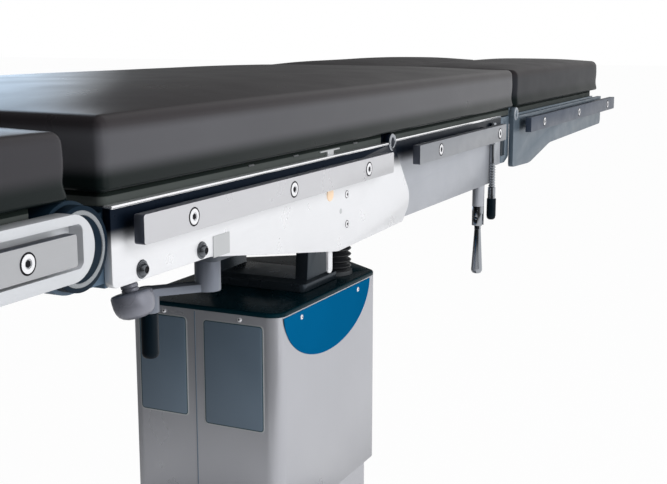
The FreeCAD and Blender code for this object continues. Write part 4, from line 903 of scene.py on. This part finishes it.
@dataclass
class BackFittings:
    """What is fixed to the outer faces of the back section's side plates."""

    face: float = 0.258

    def bolts(self) -> None:
        """Two flanged button bolts, two screws and a plug in each plate."""
        heads, sockets, screws, plugs = (bmesh.new() for _ in range(4))
        button = SocketScrew(radius=0.0064, height=0.0022, socket=0.0026, dome=0.0030)
        flange = [(0.0050, 0.0012), (0.0076, 0.0011), (0.0082, 0.0004), (0.0082, -0.0002)]
        small = SocketScrew(radius=0.0040, height=0.0004, socket=0.0017, dome=0.0004, depth=0.0012)
        # The dark ring around each small screw is a painted shadow.
        ring = [(0.0036, 0.0001), (0.0040, 0.0003), (0.0046, 0.0002), (0.0047, -0.0002)]
        plug = [(0.0, 0.0002), (0.0030, 0.0002), (0.0034, -0.0002)]
        for side in SIDES:
            out = Y_AXIS * side
            for x, z in ((-0.688, 0.7704), (-0.594, 0.7700)):
                place = Bench.facing((x, self.face * side, z), out)
                button.add(heads, sockets, place)
                Bench.lathe(heads, flange, place, 32)
            for x, z in ((-0.2785, 0.7805), (-0.2780, 0.7455)):
                place = Bench.facing((x, self.face * side, z), out)
                small.add(screws, sockets, place)
                Bench.lathe(sockets, ring, place, 24)
            Bench.lathe(plugs, plug, Bench.facing((-0.2950, self.face * side, 0.7630), out), 24)
        Bench.finish_piece("back_plate_bolts", heads, Finishes.bolt, "back")
        Bench.finish_piece("back_plate_screws", screws, Finishes.screw, "back")
        Bench.finish_piece("back_plate_sockets", sockets, Finishes.socket, "back")
        Bench.finish_piece("back_plate_plugs", plugs, Finishes.blank, "back")

    def bush(self) -> None:
        """The bronze bush that shows in each plate."""
        bm = bmesh.new()
        profile = [(0.0, 0.0003), (0.0035, 0.0003), (0.0078, 0.0008), (0.0085, -0.0002)]
        for side in SIDES:
            place = Bench.facing((-0.3235, self.face * side, 0.7865), Y_AXIS * side)
            Bench.lathe(bm, profile, place, 32)
        Bench.finish_piece("back_plate_bushes", bm, Finishes.bronze, "back")

    def blank_plate(self) -> None:
        """A small bare plate near the crank."""
        bm = bmesh.new()
        low, high = (-0.5745, -self.face - 0.0007, 0.7590), (-0.5450, -self.face + 0.0002, 0.7795)
        verts = Bench.block(bm, low, high)
        Bench.bevel(bm, Bench.edges_of(verts), 0.0004, 2)
        Bench.finish_piece("back_blank_plate", bm, Finishes.blank, "back")

    def build(self) -> None:
        """Make all fittings of the back section."""
        self.bolts()
        self.bush()
        self.blank_plate()


@dataclass
class HandGrips:
    """The domed lock knob and the turning grip of the crank, turned smooth."""

    knob_place: Point = (-0.635, -0.200, 0.7596)
    knob_lean: float = -16.0
    grip_place: Point = (-0.537, -0.158, 0.6397)
    knob_profile: tuple[tuple[float, float], ...] = (
        (0.0, -0.0003), (0.0048, -0.0003), (0.0050, -0.0010), (0.0050, -0.0136),
        (0.0066, -0.0146), (0.0080, -0.0156), (0.0080, -0.0182), (0.0071, -0.0189),
        (0.0080, -0.0196), (0.0080, -0.0222), (0.0071, -0.0229), (0.0080, -0.0236),
        (0.0080, -0.0260), (0.0150, -0.0261), (0.0181, -0.0268), (0.0194, -0.0286),
        (0.0195, -0.0340), (0.0192, -0.0385), (0.0182, -0.0428), (0.0162, -0.0464),
        (0.0130, -0.0490), (0.0088, -0.0505), (0.0044, -0.0510), (0.0, -0.0511),
    )
    grip_profile: tuple[tuple[float, float], ...] = (
        (0.0042, 0.0480), (0.0080, 0.0480), (0.0089, 0.0470), (0.0090, 0.0440), (0.0090, 0.0060),
        (0.0085, 0.0030), (0.0070, 0.0010), (0.0045, 0.0001), (0.0, 0.0),
    )

    def build(self) -> None:
        """Make the knob and the grip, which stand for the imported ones."""
        lean = Matrix.Rotation(math.radians(self.knob_lean), 4, "X")
        for name, node, profile, place, finish in (
            ("turned_knob", "lock_knob", self.knob_profile,
             Matrix.Translation(self.knob_place) @ lean, Finishes.knob),
            ("turned_grip", "crank_grip", self.grip_profile,
             Matrix.Translation(self.grip_place), Finishes.black_plastic),
        ):
            bm = bmesh.new()
            Bench.lathe(bm, profile, place, 48)
            piece = Bench.finish_piece(name, bm, finish, node, smooth=50.0)
            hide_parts(node)


@dataclass
class HeadHinges:
    """Raised rings on the round bosses that carry the head section, lighter as a painted
    highlight.
    """

    place: Point = (-0.771, 0.2605, 0.802)
    inner: float = 0.0262
    outer: float = 0.0305

    def build(self) -> None:
        """Make one ring on each boss."""
        bm = bmesh.new()
        profile = [
            (self.inner, -0.0002), (self.inner + 0.0006, 0.0006), (self.outer - 0.0008, 0.0006),
            (self.outer, -0.0002),
        ]
        for side in SIDES:
            spot = (self.place[0], self.place[1] * side, self.place[2])
            Bench.lathe(bm, profile, Bench.facing(spot, Y_AXIS * side), 64)
        Bench.finish_piece("head_boss_rings", bm, Finishes.boss_ring_highlight, "head")


@dataclass
class ReleaseRods:
    """The rods that free the leg sections: a sleeve, a spring and a dark grip."""

    x: float = 0.286
    y: float = 0.254
    top: float = 0.822
    spring_top: float = 0.757
    spring_low: float = 0.7185
    grip_top: float = 0.700
    low: float = 0.665
    turns: int = 9

    def metal_profile(self) -> list[tuple[float, float]]:
        """Radius and height of the sleeve, the spring's turns and the collar."""
        pitch = (self.spring_top - self.spring_low) / self.turns
        points = [(0.0, self.top), (0.0040, self.top), (0.0048, self.top - 0.001)]
        points.append((0.0048, self.spring_top + 0.0005))
        for n in range(self.turns):
            level = self.spring_top - pitch * n
            points += [
                (0.0036, level), (0.0052, level - pitch * 0.25), (0.0055, level - pitch * 0.5),
                (0.0052, level - pitch * 0.75),
            ]
        points += [
            (0.0036, self.spring_low), (0.0058, self.spring_low - 0.0005),
            (0.0062, self.spring_low - 0.0015), (0.0062, self.grip_top - 0.002),
            (0.0, self.grip_top - 0.002),
        ]
        return points

    def build(self) -> None:
        """Make both rods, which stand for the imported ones."""
        grip = [
            (0.0, self.grip_top), (0.0066, self.grip_top), (0.0075, self.grip_top - 0.0012),
            (0.0075, self.low + 0.007), (0.0066, self.low + 0.0028), (0.0045, self.low + 0.0006),
            (0.0, self.low),
        ]
        for side, word in zip(SIDES, ("right", "left")):
            place = Matrix.Translation((self.x, self.y * side, 0.0))
            node, body = "release_rod_" + word, "release_rod_" + word
            for name, profile, finish in (
                ("sprung_rod_", self.metal_profile(), Finishes.polished),
                ("rod_grip_", grip, Finishes.black_plastic),
            ):
                bm = bmesh.new()
                Bench.lathe(bm, profile, place, 32)
                piece = Bench.finish_piece(name + word, bm, finish, body, smooth=55.0)
                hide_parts(node)


@dataclass
class HingeRings:
    """The rings and caps around the pins between the sections."""

    height: float = 0.829

    def ring(
        self, name: str, spots: Sequence[tuple[Point, float]], body: str, finish: Finish
    ) -> None:
        """Turned rings around pins that lie across the table.

        Args:
            name: The piece's name.
            spots: Where each ring's face lies, and the side that it looks to.
            body: The body that the rings ride on.
            finish: The finish of the rings.
        """
        bm = bmesh.new()
        profile = [
            (0.0062, 0.0010), (0.0070, 0.0018), (0.0098, 0.0018), (0.0108, 0.0008),
            (0.0108, -0.0004),
        ]
        for spot, side in spots:
            Bench.lathe(bm, profile, Bench.facing(spot, Y_AXIS * side), 36)
        Bench.finish_piece(name, bm, finish, body)

    def build(self) -> None:
        """Make the rings of the back hinge and the two leg hinges."""
        spots = [((-0.144, 0.258 * side, self.height), side) for side in SIDES]
        self.ring("back_hinge_rings", spots, "back", Finishes.polished)
        for side, word in zip(SIDES, ("right", "left")):
            spots = [((0.396, 0.258 * side, self.height), side)]
            self.ring("leg_hinge_ring_" + word, spots, "leg_" + word, Finishes.hinge_ring)


@dataclass
class ColumnPlates:
    """The blank badge and label plates on the upper cover, its seam and the cap's screws."""

    near: float = -0.120
    end: float = -0.192
    badge_steps: int = 40

    def outline_plate(
        self, name: str, points: Sequence[Point], normal: Vector, thick: float, finish: Finish
    ) -> bpy.types.Object:
        """A thin plate from an outline in space.

        Args:
            name: The piece's name.
            points: The corners of the outline, on the cover's face.
            normal: The direction that the plate faces.
            thick: Its thickness.
            finish: Its finish.

        Returns:
            The plate.
        """
        bm = bmesh.new()
        verts = [bm.verts.new(Vector(point) + normal * 0.00005) for point in points]
        face = bm.faces.new(verts)
        raised = bmesh.ops.extrude_face_region(bm, geom=[face])
        moved = [v for v in raised["geom"] if isinstance(v, bmesh.types.BMVert)]
        bmesh.ops.translate(bm, verts=moved, vec=normal * thick)
        Bench.bevel(bm, Bench.edges_of(moved), thick * 0.4, 2)
        return Bench.finish_piece(name, bm, finish, "column_upper")

    def badge(self) -> None:
        """A plain blue plate, the lower part of an oval, with two screws."""
        top, centre = 0.5925, (-0.039, 0.595)
        half_wide, half_high, turn = 0.140, 0.080, 0.03
        points = []
        for n in range(self.badge_steps + 1):
            angle = math.pi + turn + (math.pi - 2 * turn) * n / self.badge_steps
            points.append((
                centre[0] + half_wide * math.cos(angle), self.near,
                min(top, centre[1] + half_high * math.sin(angle)),
            ))
        self.outline_plate("blue_badge_plate", points, -Y_AXIS, 0.0012, Finishes.badge)
        heads, sockets = bmesh.new(), bmesh.new()
        screw = SocketScrew(radius=0.0036, height=0.0006, socket=0.0011, dome=0.001, depth=0.001)
        for x, z in ((-0.1290, 0.5835), (0.0560, 0.5835)):
            screw.add(heads, sockets, Bench.facing((x, self.near - 0.0012, z), -Y_AXIS))
        for y in (-0.060, 0.060):
            screw.add(heads, sockets, Bench.facing((self.end, y, 0.5875), -X_AXIS))
        Bench.finish_piece("badge_screws", heads, Finishes.screw, "column_upper")
        Bench.finish_piece("badge_sockets", sockets, Finishes.socket, "column_upper")

    def rounded(self, y0: float, y1: float, z0: float, z1: float, radius: float) -> list[Point]:
        """The outline of a rectangle with rounded corners on the cover's end face.

        Args:
            y0: Its lowest Y.
            y1: Its highest Y.
            z0: Its lowest Z.
            z1: Its highest Z.
            radius: The corners' radius.

        Returns:
            The points of the outline.
        """
        corners = (
            (y1 - radius, z1 - radius, 0), (y0 + radius, z1 - radius, 1),
            (y0 + radius, z0 + radius, 2), (y1 - radius, z0 + radius, 3),
        )
        points = []
        for y, z, quarter in corners:
            for n in range(5):
                angle = math.pi / 2 * (quarter + n / 4)
                points.append((
                    self.end, y + radius * math.cos(angle), z + radius * math.sin(angle)
                ))
        return points

    def labels(self) -> None:
        """Two bare label plates, each with a dark line around it, on the cover's end face."""
        for name, y0, y1, z0, z1 in (
            ("left", 0.0230, 0.1030, 0.4400, 0.5830),
            ("right", -0.0970, -0.0020, 0.4330, 0.5830),
        ):
            for part, inset, thick, finish in (
                ("rim", 0.0, 0.0003, Finishes.blank),
                ("border", 0.0016, 0.0005, Finishes.label_border),
                ("plate", 0.0030, 0.0007, Finishes.label),
            ):
                outline = self.rounded(
                    y0 + inset, y1 - inset, z0 + inset, z1 - inset, 0.0065 - inset
                )
                self.outline_plate(f"label_{part}_{name}", outline, -X_AXIS, thick, finish)

    def seam(self) -> None:
        """The folded seam between the two halves of the cover, on its end face."""
        bm = bmesh.new()
        verts = Bench.block(
            bm, (self.end - 0.0006, 0.0098, 0.300), (self.end + 0.0002, 0.0112, 0.592)
        )
        Bench.bevel(bm, Bench.edges_of(verts), 0.0003, 2)
        Bench.finish_piece("column_seam", bm, Finishes.label, "column_upper")

    def build(self) -> None:
        """Make the plates and the seam."""
        self.badge()
        self.labels()
        self.seam()


@dataclass
class BoardClips:
    """The small studs and hooks that hold the cushions to the boards."""

    edge: float = 0.2500
    height: float = 0.8362
    stud_places: tuple[float, ...] = (-0.4875, -0.3916, -0.2390)
    hook_place: float = -0.308

    def stud(self, bm: bmesh.types.BMesh, x: float, side: int) -> None:
        """A low oblong stud on the board's edge.

        Args:
            bm: The mesh to add to.
            x: Where it sits along the board.
            side: Which edge.
        """
        near, far = sorted(((self.edge - 0.0006) * side, (self.edge + 0.0012) * side))
        verts = Bench.block(
            bm, (x - 0.0055, near, self.height - 0.0011), (x + 0.0055, far, self.height + 0.0011)
        )
        Bench.bevel(bm, Bench.edges_of(verts), 0.0009, 3)

    def hook(self, bm: bmesh.types.BMesh, x: float, side: int) -> None:
        """A flat spring hook: a long tongue with a foot that reaches down to the plate.

        Args:
            bm: The mesh to add to.
            x: The middle of its foot.
            side: Which edge.
        """
        near, far = sorted(((self.edge - 0.0004) * side, (self.edge + 0.0016) * side))
        for low, high in (
            ((x - 0.026, near, 0.8333), (x + 0.024, far, 0.8352)),
            ((x - 0.008, near, 0.8292), (x + 0.008, far, 0.8345)),
        ):
            verts = Bench.block(bm, low, high)
            Bench.bevel(bm, Bench.edges_of(verts), 0.0007, 2)

    def build(self) -> None:
        """Make the studs and hooks along both edges of the back board."""
        studs, hooks = bmesh.new(), bmesh.new()
        for side in SIDES:
            for x in self.stud_places:
                self.stud(studs, x, side)
            self.hook(hooks, self.hook_place, side)
        Bench.finish_piece("back_board_studs", studs, Finishes.stud, "back")
        Bench.finish_piece("back_board_hooks", hooks, Finishes.blank, "back")


@dataclass
class Bellows:
    """A ribbed rubber gaiter over an actuator's spindle."""

    name: str
    node: str
    lower_body: str
    upper_body: str
    folds: int = 7

    def build(self) -> None:
        """Make the gaiter in place of the imported one."""
        low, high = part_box(self.node)
        centre = (low + high) / 2
        outer, inner = (high.x - low.x) / 2, (high.x - low.x) / 2 * 0.78
        tall = high.z - low.z
        profile = [(0.0, 0.0), (inner, 0.0)]
        count = self.folds * 8
        for n in range(count + 1):
            wave = 0.5 - 0.5 * math.cos(math.tau * n / 8)
            radius = inner + (outer - inner) * wave ** 0.8
            profile.append((radius, tall * (0.02 + 0.96 * n / count)))
        profile += [(inner, tall), (0.0, tall)]
        bm = bmesh.new()
        Bench.lathe(bm, profile, Matrix.Translation((centre.x, centre.y, low.z)), 48)
        piece = Bench.finish_piece(self.name, bm, Finishes.rubber, smooth=80.0)
        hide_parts(self.node)
        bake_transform(piece)


@dataclass
class SolidParts:
    """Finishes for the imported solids, with eased copies of the ones seen close by."""

    eased: dict[str, tuple[Finish, float]] = field(
        default_factory=lambda: {
            "back_side_plate": (Finishes.plate, 0.0008),
            "seat_side_plate": (Finishes.seat_plate, 0.0007),
            "back_rails": (Finishes.rail, 0.0008),
            "seat_rails": (Finishes.seat_rail, 0.0008),
            "head_rails": (Finishes.head_rail, 0.0008),
            "leg_arm": (Finishes.alloy, 0.0009),
            "leg_knuckle": (Finishes.alloy, 0.0009),
            "head_arm": (Finishes.casting, 0.0018),
            "back_board": (Finishes.board, 0.0008),
            "seat_board": (Finishes.board, 0.0008),
            "head_board": (Finishes.board, 0.0008),
            "leg_board": (Finishes.board, 0.0008),
            "column_cap": (Finishes.cap, 0.0006),
            "upper_column_cover": (Finishes.column, 0.0004),
            "crank_gearbox": (Finishes.housing, 0.0014),
            "crank_arm": (Finishes.crank, 0.0012),
            "back_cross_members": (Finishes.beam, 0.0012),
            "seat_cross_members": (Finishes.shaded, 0.0012),
            "cardan_pedestal": (Finishes.cross, 0.0012),
            "cardan_cross": (Finishes.cross, 0.0012),
            "base_chassis": (Finishes.chassis, 0.0010),
            "clamp_handle": (Finishes.polished, 0.0004),
            "clamp_spindle": (Finishes.polished, 0.0005),
        }
    )
    second: dict[str, tuple[Finish, Faces]] = field(
        default_factory=lambda: {
            "back_rails": (Finishes.rail_edge, Faces.SHADED_RAIL_FACES),
            "seat_rails": (Finishes.rail_edge, Faces.SHADED_RAIL_FACES),
            "head_rails": (Finishes.rail_edge, Faces.SHADED_RAIL_FACES),
            "leg_arm_right": (Finishes.leg_rail, Faces.LEG_RAIL),
            "leg_arm_left": (Finishes.leg_rail, Faces.LEG_RAIL),
            "head_arm_right": (Finishes.boss, Faces.HINGE_BOSS),
            "head_arm_left": (Finishes.boss, Faces.HINGE_BOSS),
        }
    )
    plain: dict[str, Finish] = field(
        default_factory=lambda: {
            "middle_column_cover": Finishes.column,
            "lower_column_cover": Finishes.column,
            "base_cover": Finishes.column,
            "lift_cylinder": Finishes.machined,
            "levelling_feet": Finishes.foot,
            "castor_fork": Finishes.castor,
            "castor_wheels": Finishes.tyre,
            "trend_actuator": Finishes.actuator,
            "tilt_actuator": Finishes.actuator,
        }
    )

    def build(self, frame: dict) -> None:
        """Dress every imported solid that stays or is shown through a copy.
        """
        owner = {
            node: body
            for body, nodes in frame["record"]["behaviour"]["bodies"].items()
            for node in nodes
        }
        for node, thing in frame["nodes"].items():
            for stem, (finish, width) in self.eased.items():
                if node == stem or node.startswith(stem + "_"):
                    Bench.rounded_copy(node, owner[node], finish, width, self.second.get(node))
            for stem, finish in self.plain.items():
                if node == stem or node.startswith(stem + "_"):
                    thing.data.materials.clear()
                    thing.data.materials.append(Finishes.material(finish))
                    log.info("%s: %s", node, finish.name)


@dataclass(frozen=True)
class Lamp:
    """A soft square lamp: its place, the point that it faces, its side and its watts."""

    name: str
    place: Point
    target: Point
    size: float
    power: float


@dataclass
class Studio:
    """Pale floor, soft light and the camera of the photograph."""

    eye: Point = (-1.45819, -0.80547, 0.96904)
    turn: float = 25.58
    dip: float = 10.67
    lens: float = 60.997
    floor_half: float = 30.0
    floor_glow: float = 0.975
    sky: float = 0.26
    dark_end: float = 0.05
    far_side: float = 0.16
    far_window: float = 2.6
    window_light: Colour = (0.66, 0.82, 1.0)
    sky_light: Colour = (0.93, 0.96, 1.0)
    floor_colour: Colour = (0.86, 0.865, 0.87)
    floor_reach: float = 3.0
    lamps: tuple[Lamp, ...] = (
        Lamp("key", (-0.8, -2.6, 1.5), (0.0, 0.0, 0.75), 1.8, 72.0),
        Lamp("fill", (-3.0, 0.4, 1.6), (0.0, 0.0, 0.8), 1.6, 5.0),
        Lamp("ceiling", (0.2, 0.4, 3.6), (0.0, 0.0, 0.8), 2.6, 8.0),
        Lamp("window", (1.9, 3.2, 1.25), (-0.3, 0.0, 0.9), 1.1, 5.0),
    )

    def camera(self) -> None:
        """Place the camera where the photograph was taken from."""
        data = bpy.data.cameras.new("view")
        data.lens = self.lens
        data.sensor_width = 36.0
        data.clip_start = 0.02
        data.clip_end = 60.0
        camera = bpy.data.objects.new("view", data)
        bpy.context.scene.collection.objects.link(camera)
        turn, dip = math.radians(self.turn), math.radians(self.dip)
        ahead = Vector(
            (math.cos(turn) * math.cos(dip), math.sin(turn) * math.cos(dip), -math.sin(dip))
        )
        camera.location = self.eye
        camera.rotation_euler = ahead.to_track_quat("-Z", "Y").to_euler()
        bpy.context.scene.camera = camera

    @staticmethod
    def light_up(lamp: Lamp) -> None:
        """Hang a lamp that lights the table and doesn't show in reflections.

        Args:
            lamp: The lamp.
        """
        data = bpy.data.lights.new(lamp.name, "AREA")
        data.size = lamp.size
        data.energy = lamp.power
        light = bpy.data.objects.new(lamp.name, data)
        bpy.context.scene.collection.objects.link(light)
        light.location = lamp.place
        aim = Vector(lamp.target) - Vector(lamp.place)
        light.rotation_euler = aim.to_track_quat("-Z", "Y").to_euler()
        light.visible_glossy = False

    @staticmethod
    def ramp(
        graph: NodeGraph, value: bpy.types.NodeSocket, start: float, end: float,
        low: float, high: float,
    ) -> bpy.types.NodeSocket:
        """A value mapped softly from one range to another.

        Args:
            graph: The node tree.
            value: The value to map.
            start: Where the range starts.
            end: Where it ends.
            low: The result at the start.
            high: The result at the end.

        Returns:
            The mapped value.
        """
        node = graph.add("ShaderNodeMapRange", interpolation_type="SMOOTHSTEP")
        for name, number in (
            ("From Min", start), ("From Max", end), ("To Min", low), ("To Max", high),
        ):
            node.inputs[name].default_value = number
        graph.join(value, node.inputs["Value"])
        return node.outputs["Result"]

    @staticmethod
    def any_of(graph: NodeGraph, *values: bpy.types.NodeSocket) -> bpy.types.NodeSocket:
        """The largest of several values."""
        result = values[0]
        for value in values[1:]:
            node = graph.add("ShaderNodeMath", operation="MAXIMUM")
            graph.join(result, node.inputs[0])
            graph.join(value, node.inputs[1])
            result = node.outputs[0]
        return result

    def shown_to(self, graph: NodeGraph, path: bpy.types.Node) -> bpy.types.NodeSocket:
        """Whether a ray comes from the camera, from a reflection or through something clear.

        Args:
            graph: The node tree.
            path: The light path.

        Returns:
            1 for such a ray and 0 for the others.
        """
        return self.any_of(
            graph, path.outputs["Is Camera Ray"], path.outputs["Is Glossy Ray"],
            path.outputs["Is Transmission Ray"],
        )

    def mirrored(
        self, graph: NodeGraph, coordinate: bpy.types.NodeSocket, reach: float
    ) -> bpy.types.NodeSocket:
        """How bright metal sees the studio: pale all round and dark past the head end.

        Args:
            graph: The node tree.
            coordinate: A direction, or a place on the floor.
            reach: How far out the change lies, 1 for a direction.

        Returns:
            The brightness for a reflection, and 1 for the camera itself.
        """
        split = graph.add("ShaderNodeSeparateXYZ")
        graph.join(coordinate, split.inputs["Vector"])
        along = self.ramp(
            graph, split.outputs["X"], -0.85 * reach, -0.10 * reach, self.dark_end, 1.0
        )
        across = self.ramp(
            graph, split.outputs["Y"], -0.2 * reach, 0.5 * reach, 1.0, self.far_side
        )
        both = graph.add("ShaderNodeMath", operation="MULTIPLY")
        graph.join(along, both.inputs[0])
        graph.join(across, both.inputs[1])
        path = graph.add("ShaderNodeLightPath")
        return self.any_of(graph, path.outputs["Is Camera Ray"], both.outputs[0])

    def window(
        self, graph: NodeGraph, direction: bpy.types.NodeSocket, path: bpy.types.Node
    ) -> bpy.types.NodeSocket:
        """Where a reflection looks into the window beyond the far side.

        Args:
            graph: The node tree.
            direction: The direction of the ray.
            path: The light path, as the camera itself doesn't see the window.

        Returns:
            1 in the window and 0 elsewhere.
        """
        split = graph.add("ShaderNodeSeparateXYZ")
        graph.join(direction, split.inputs["Vector"])
        ahead = self.ramp(graph, split.outputs["X"], 0.2, 0.45, 0.0, 1.0)
        beyond = self.ramp(graph, split.outputs["Y"], 0.57, 0.66, 0.0, 1.0)
        inside = graph.add("ShaderNodeMath", operation="MULTIPLY")
        graph.join(ahead, inside.inputs[0])
        graph.join(beyond, inside.inputs[1])
        unseen = graph.add("ShaderNodeMath", operation="SUBTRACT", use_clamp=True)
        graph.join(inside.outputs[0], unseen.inputs[0])
        graph.join(path.outputs["Is Camera Ray"], unseen.inputs[1])
        return unseen.outputs[0]

    def world(self) -> None:
        """White to the camera, the studio to metal, and a soft sky as light on matt surfaces."""
        world = bpy.data.worlds.new("studio")
        bpy.context.scene.world = world
        graph = NodeGraph(world)
        shown = graph.add("ShaderNodeBackground")
        light = graph.add("ShaderNodeBackground")
        light.inputs["Color"].default_value = (*self.sky_light, 1.0)
        light.inputs["Strength"].default_value = self.sky
        place = graph.add("ShaderNodeTexCoord")
        path = graph.add("ShaderNodeLightPath")
        mix = graph.add("ShaderNodeMixShader")
        output = graph.add("ShaderNodeOutputWorld")
        window = self.window(graph, place.outputs["Generated"], path)
        tint = graph.blend_colours(window, (1.0, 1.0, 1.0), self.window_light)
        glow = graph.add("ShaderNodeMath", operation="MULTIPLY")
        glow.inputs[1].default_value = self.far_window
        graph.join(window, glow.inputs[0])
        studio = self.mirrored(graph, place.outputs["Generated"], 1.0)
        graph.join(tint, shown.inputs["Color"])
        graph.join(self.any_of(graph, studio, glow.outputs[0]), shown.inputs["Strength"])
        seen = self.shown_to(graph, path)
        graph.join(seen, mix.inputs["Fac"])
        graph.join(light.outputs["Background"], mix.inputs[1])
        graph.join(shown.outputs["Background"], mix.inputs[2])
        graph.join(mix.outputs["Shader"], output.inputs["Surface"])

    def floor(self) -> None:
        """A pale floor that keeps the table's shadow and reads as white."""
        bm = bmesh.new()
        bmesh.ops.create_grid(
            bm, x_segments=1, y_segments=1, size=self.floor_half,
            matrix=Matrix.Translation((0.0, 0.0, -0.0004)),
        )
        mesh = bpy.data.meshes.new("floor")
        bm.to_mesh(mesh)
        bm.free()
        material = bpy.data.materials.new("pale_floor")
        graph = NodeGraph(material)
        surface, output = graph.end_in_surface()
        surface.inputs["Base Color"].default_value = (*self.floor_colour, 1.0)
        surface.inputs["Roughness"].default_value = 0.7
        glow = graph.add("ShaderNodeEmission")
        place = graph.add("ShaderNodeTexCoord")
        path = graph.add("ShaderNodeLightPath")
        share = graph.add("ShaderNodeMath", operation="MULTIPLY")
        share.inputs[1].default_value = self.floor_glow
        mix = graph.add("ShaderNodeMixShader")
        studio = self.mirrored(graph, place.outputs["Object"], self.floor_reach)
        graph.join(studio, glow.inputs["Strength"])
        seen = self.shown_to(graph, path)
        graph.join(seen, share.inputs[0])
        graph.join(share.outputs[0], mix.inputs["Fac"])
        graph.join(surface.outputs["BSDF"], mix.inputs[1])
        graph.join(glow.outputs["Emission"], mix.inputs[2])
        graph.join(mix.outputs["Shader"], output.inputs["Surface"])
        mesh.materials.append(material)
        floor = bpy.data.objects.new("floor", mesh)
        bpy.context.scene.collection.objects.link(floor)

    def build(self) -> None:
        """Make the camera, the lamps, the world and the floor."""
        self.camera()
        self.world()
        self.floor()
        for lamp in self.lamps:
            self.light_up(lamp)
        bpy.context.scene.view_settings.view_transform = "Standard"


def main() -> None:
    """Build the table's looks in order and report each piece."""
    logging.basicConfig(level=logging.INFO, format="%(message)s")
    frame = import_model()
    Studio().build()
    SolidParts().build(frame)
    Mattress().build()
    SideRails().build()
    PlateLips().build()
    BackFittings().build()
    HingeRings().build()
    ColumnPlates().build()
    BoardClips().build()
    ReleaseRods().build()
    HandGrips().build()
    HeadHinges().build()
    Bellows("trend_gaiter", "trend_bellows", "column_upper", "cradle").build()
    Bellows("tilt_gaiter", "tilt_bellows", "cradle", "seat", folds=6).build()


if __name__ == "__main__":
    main()
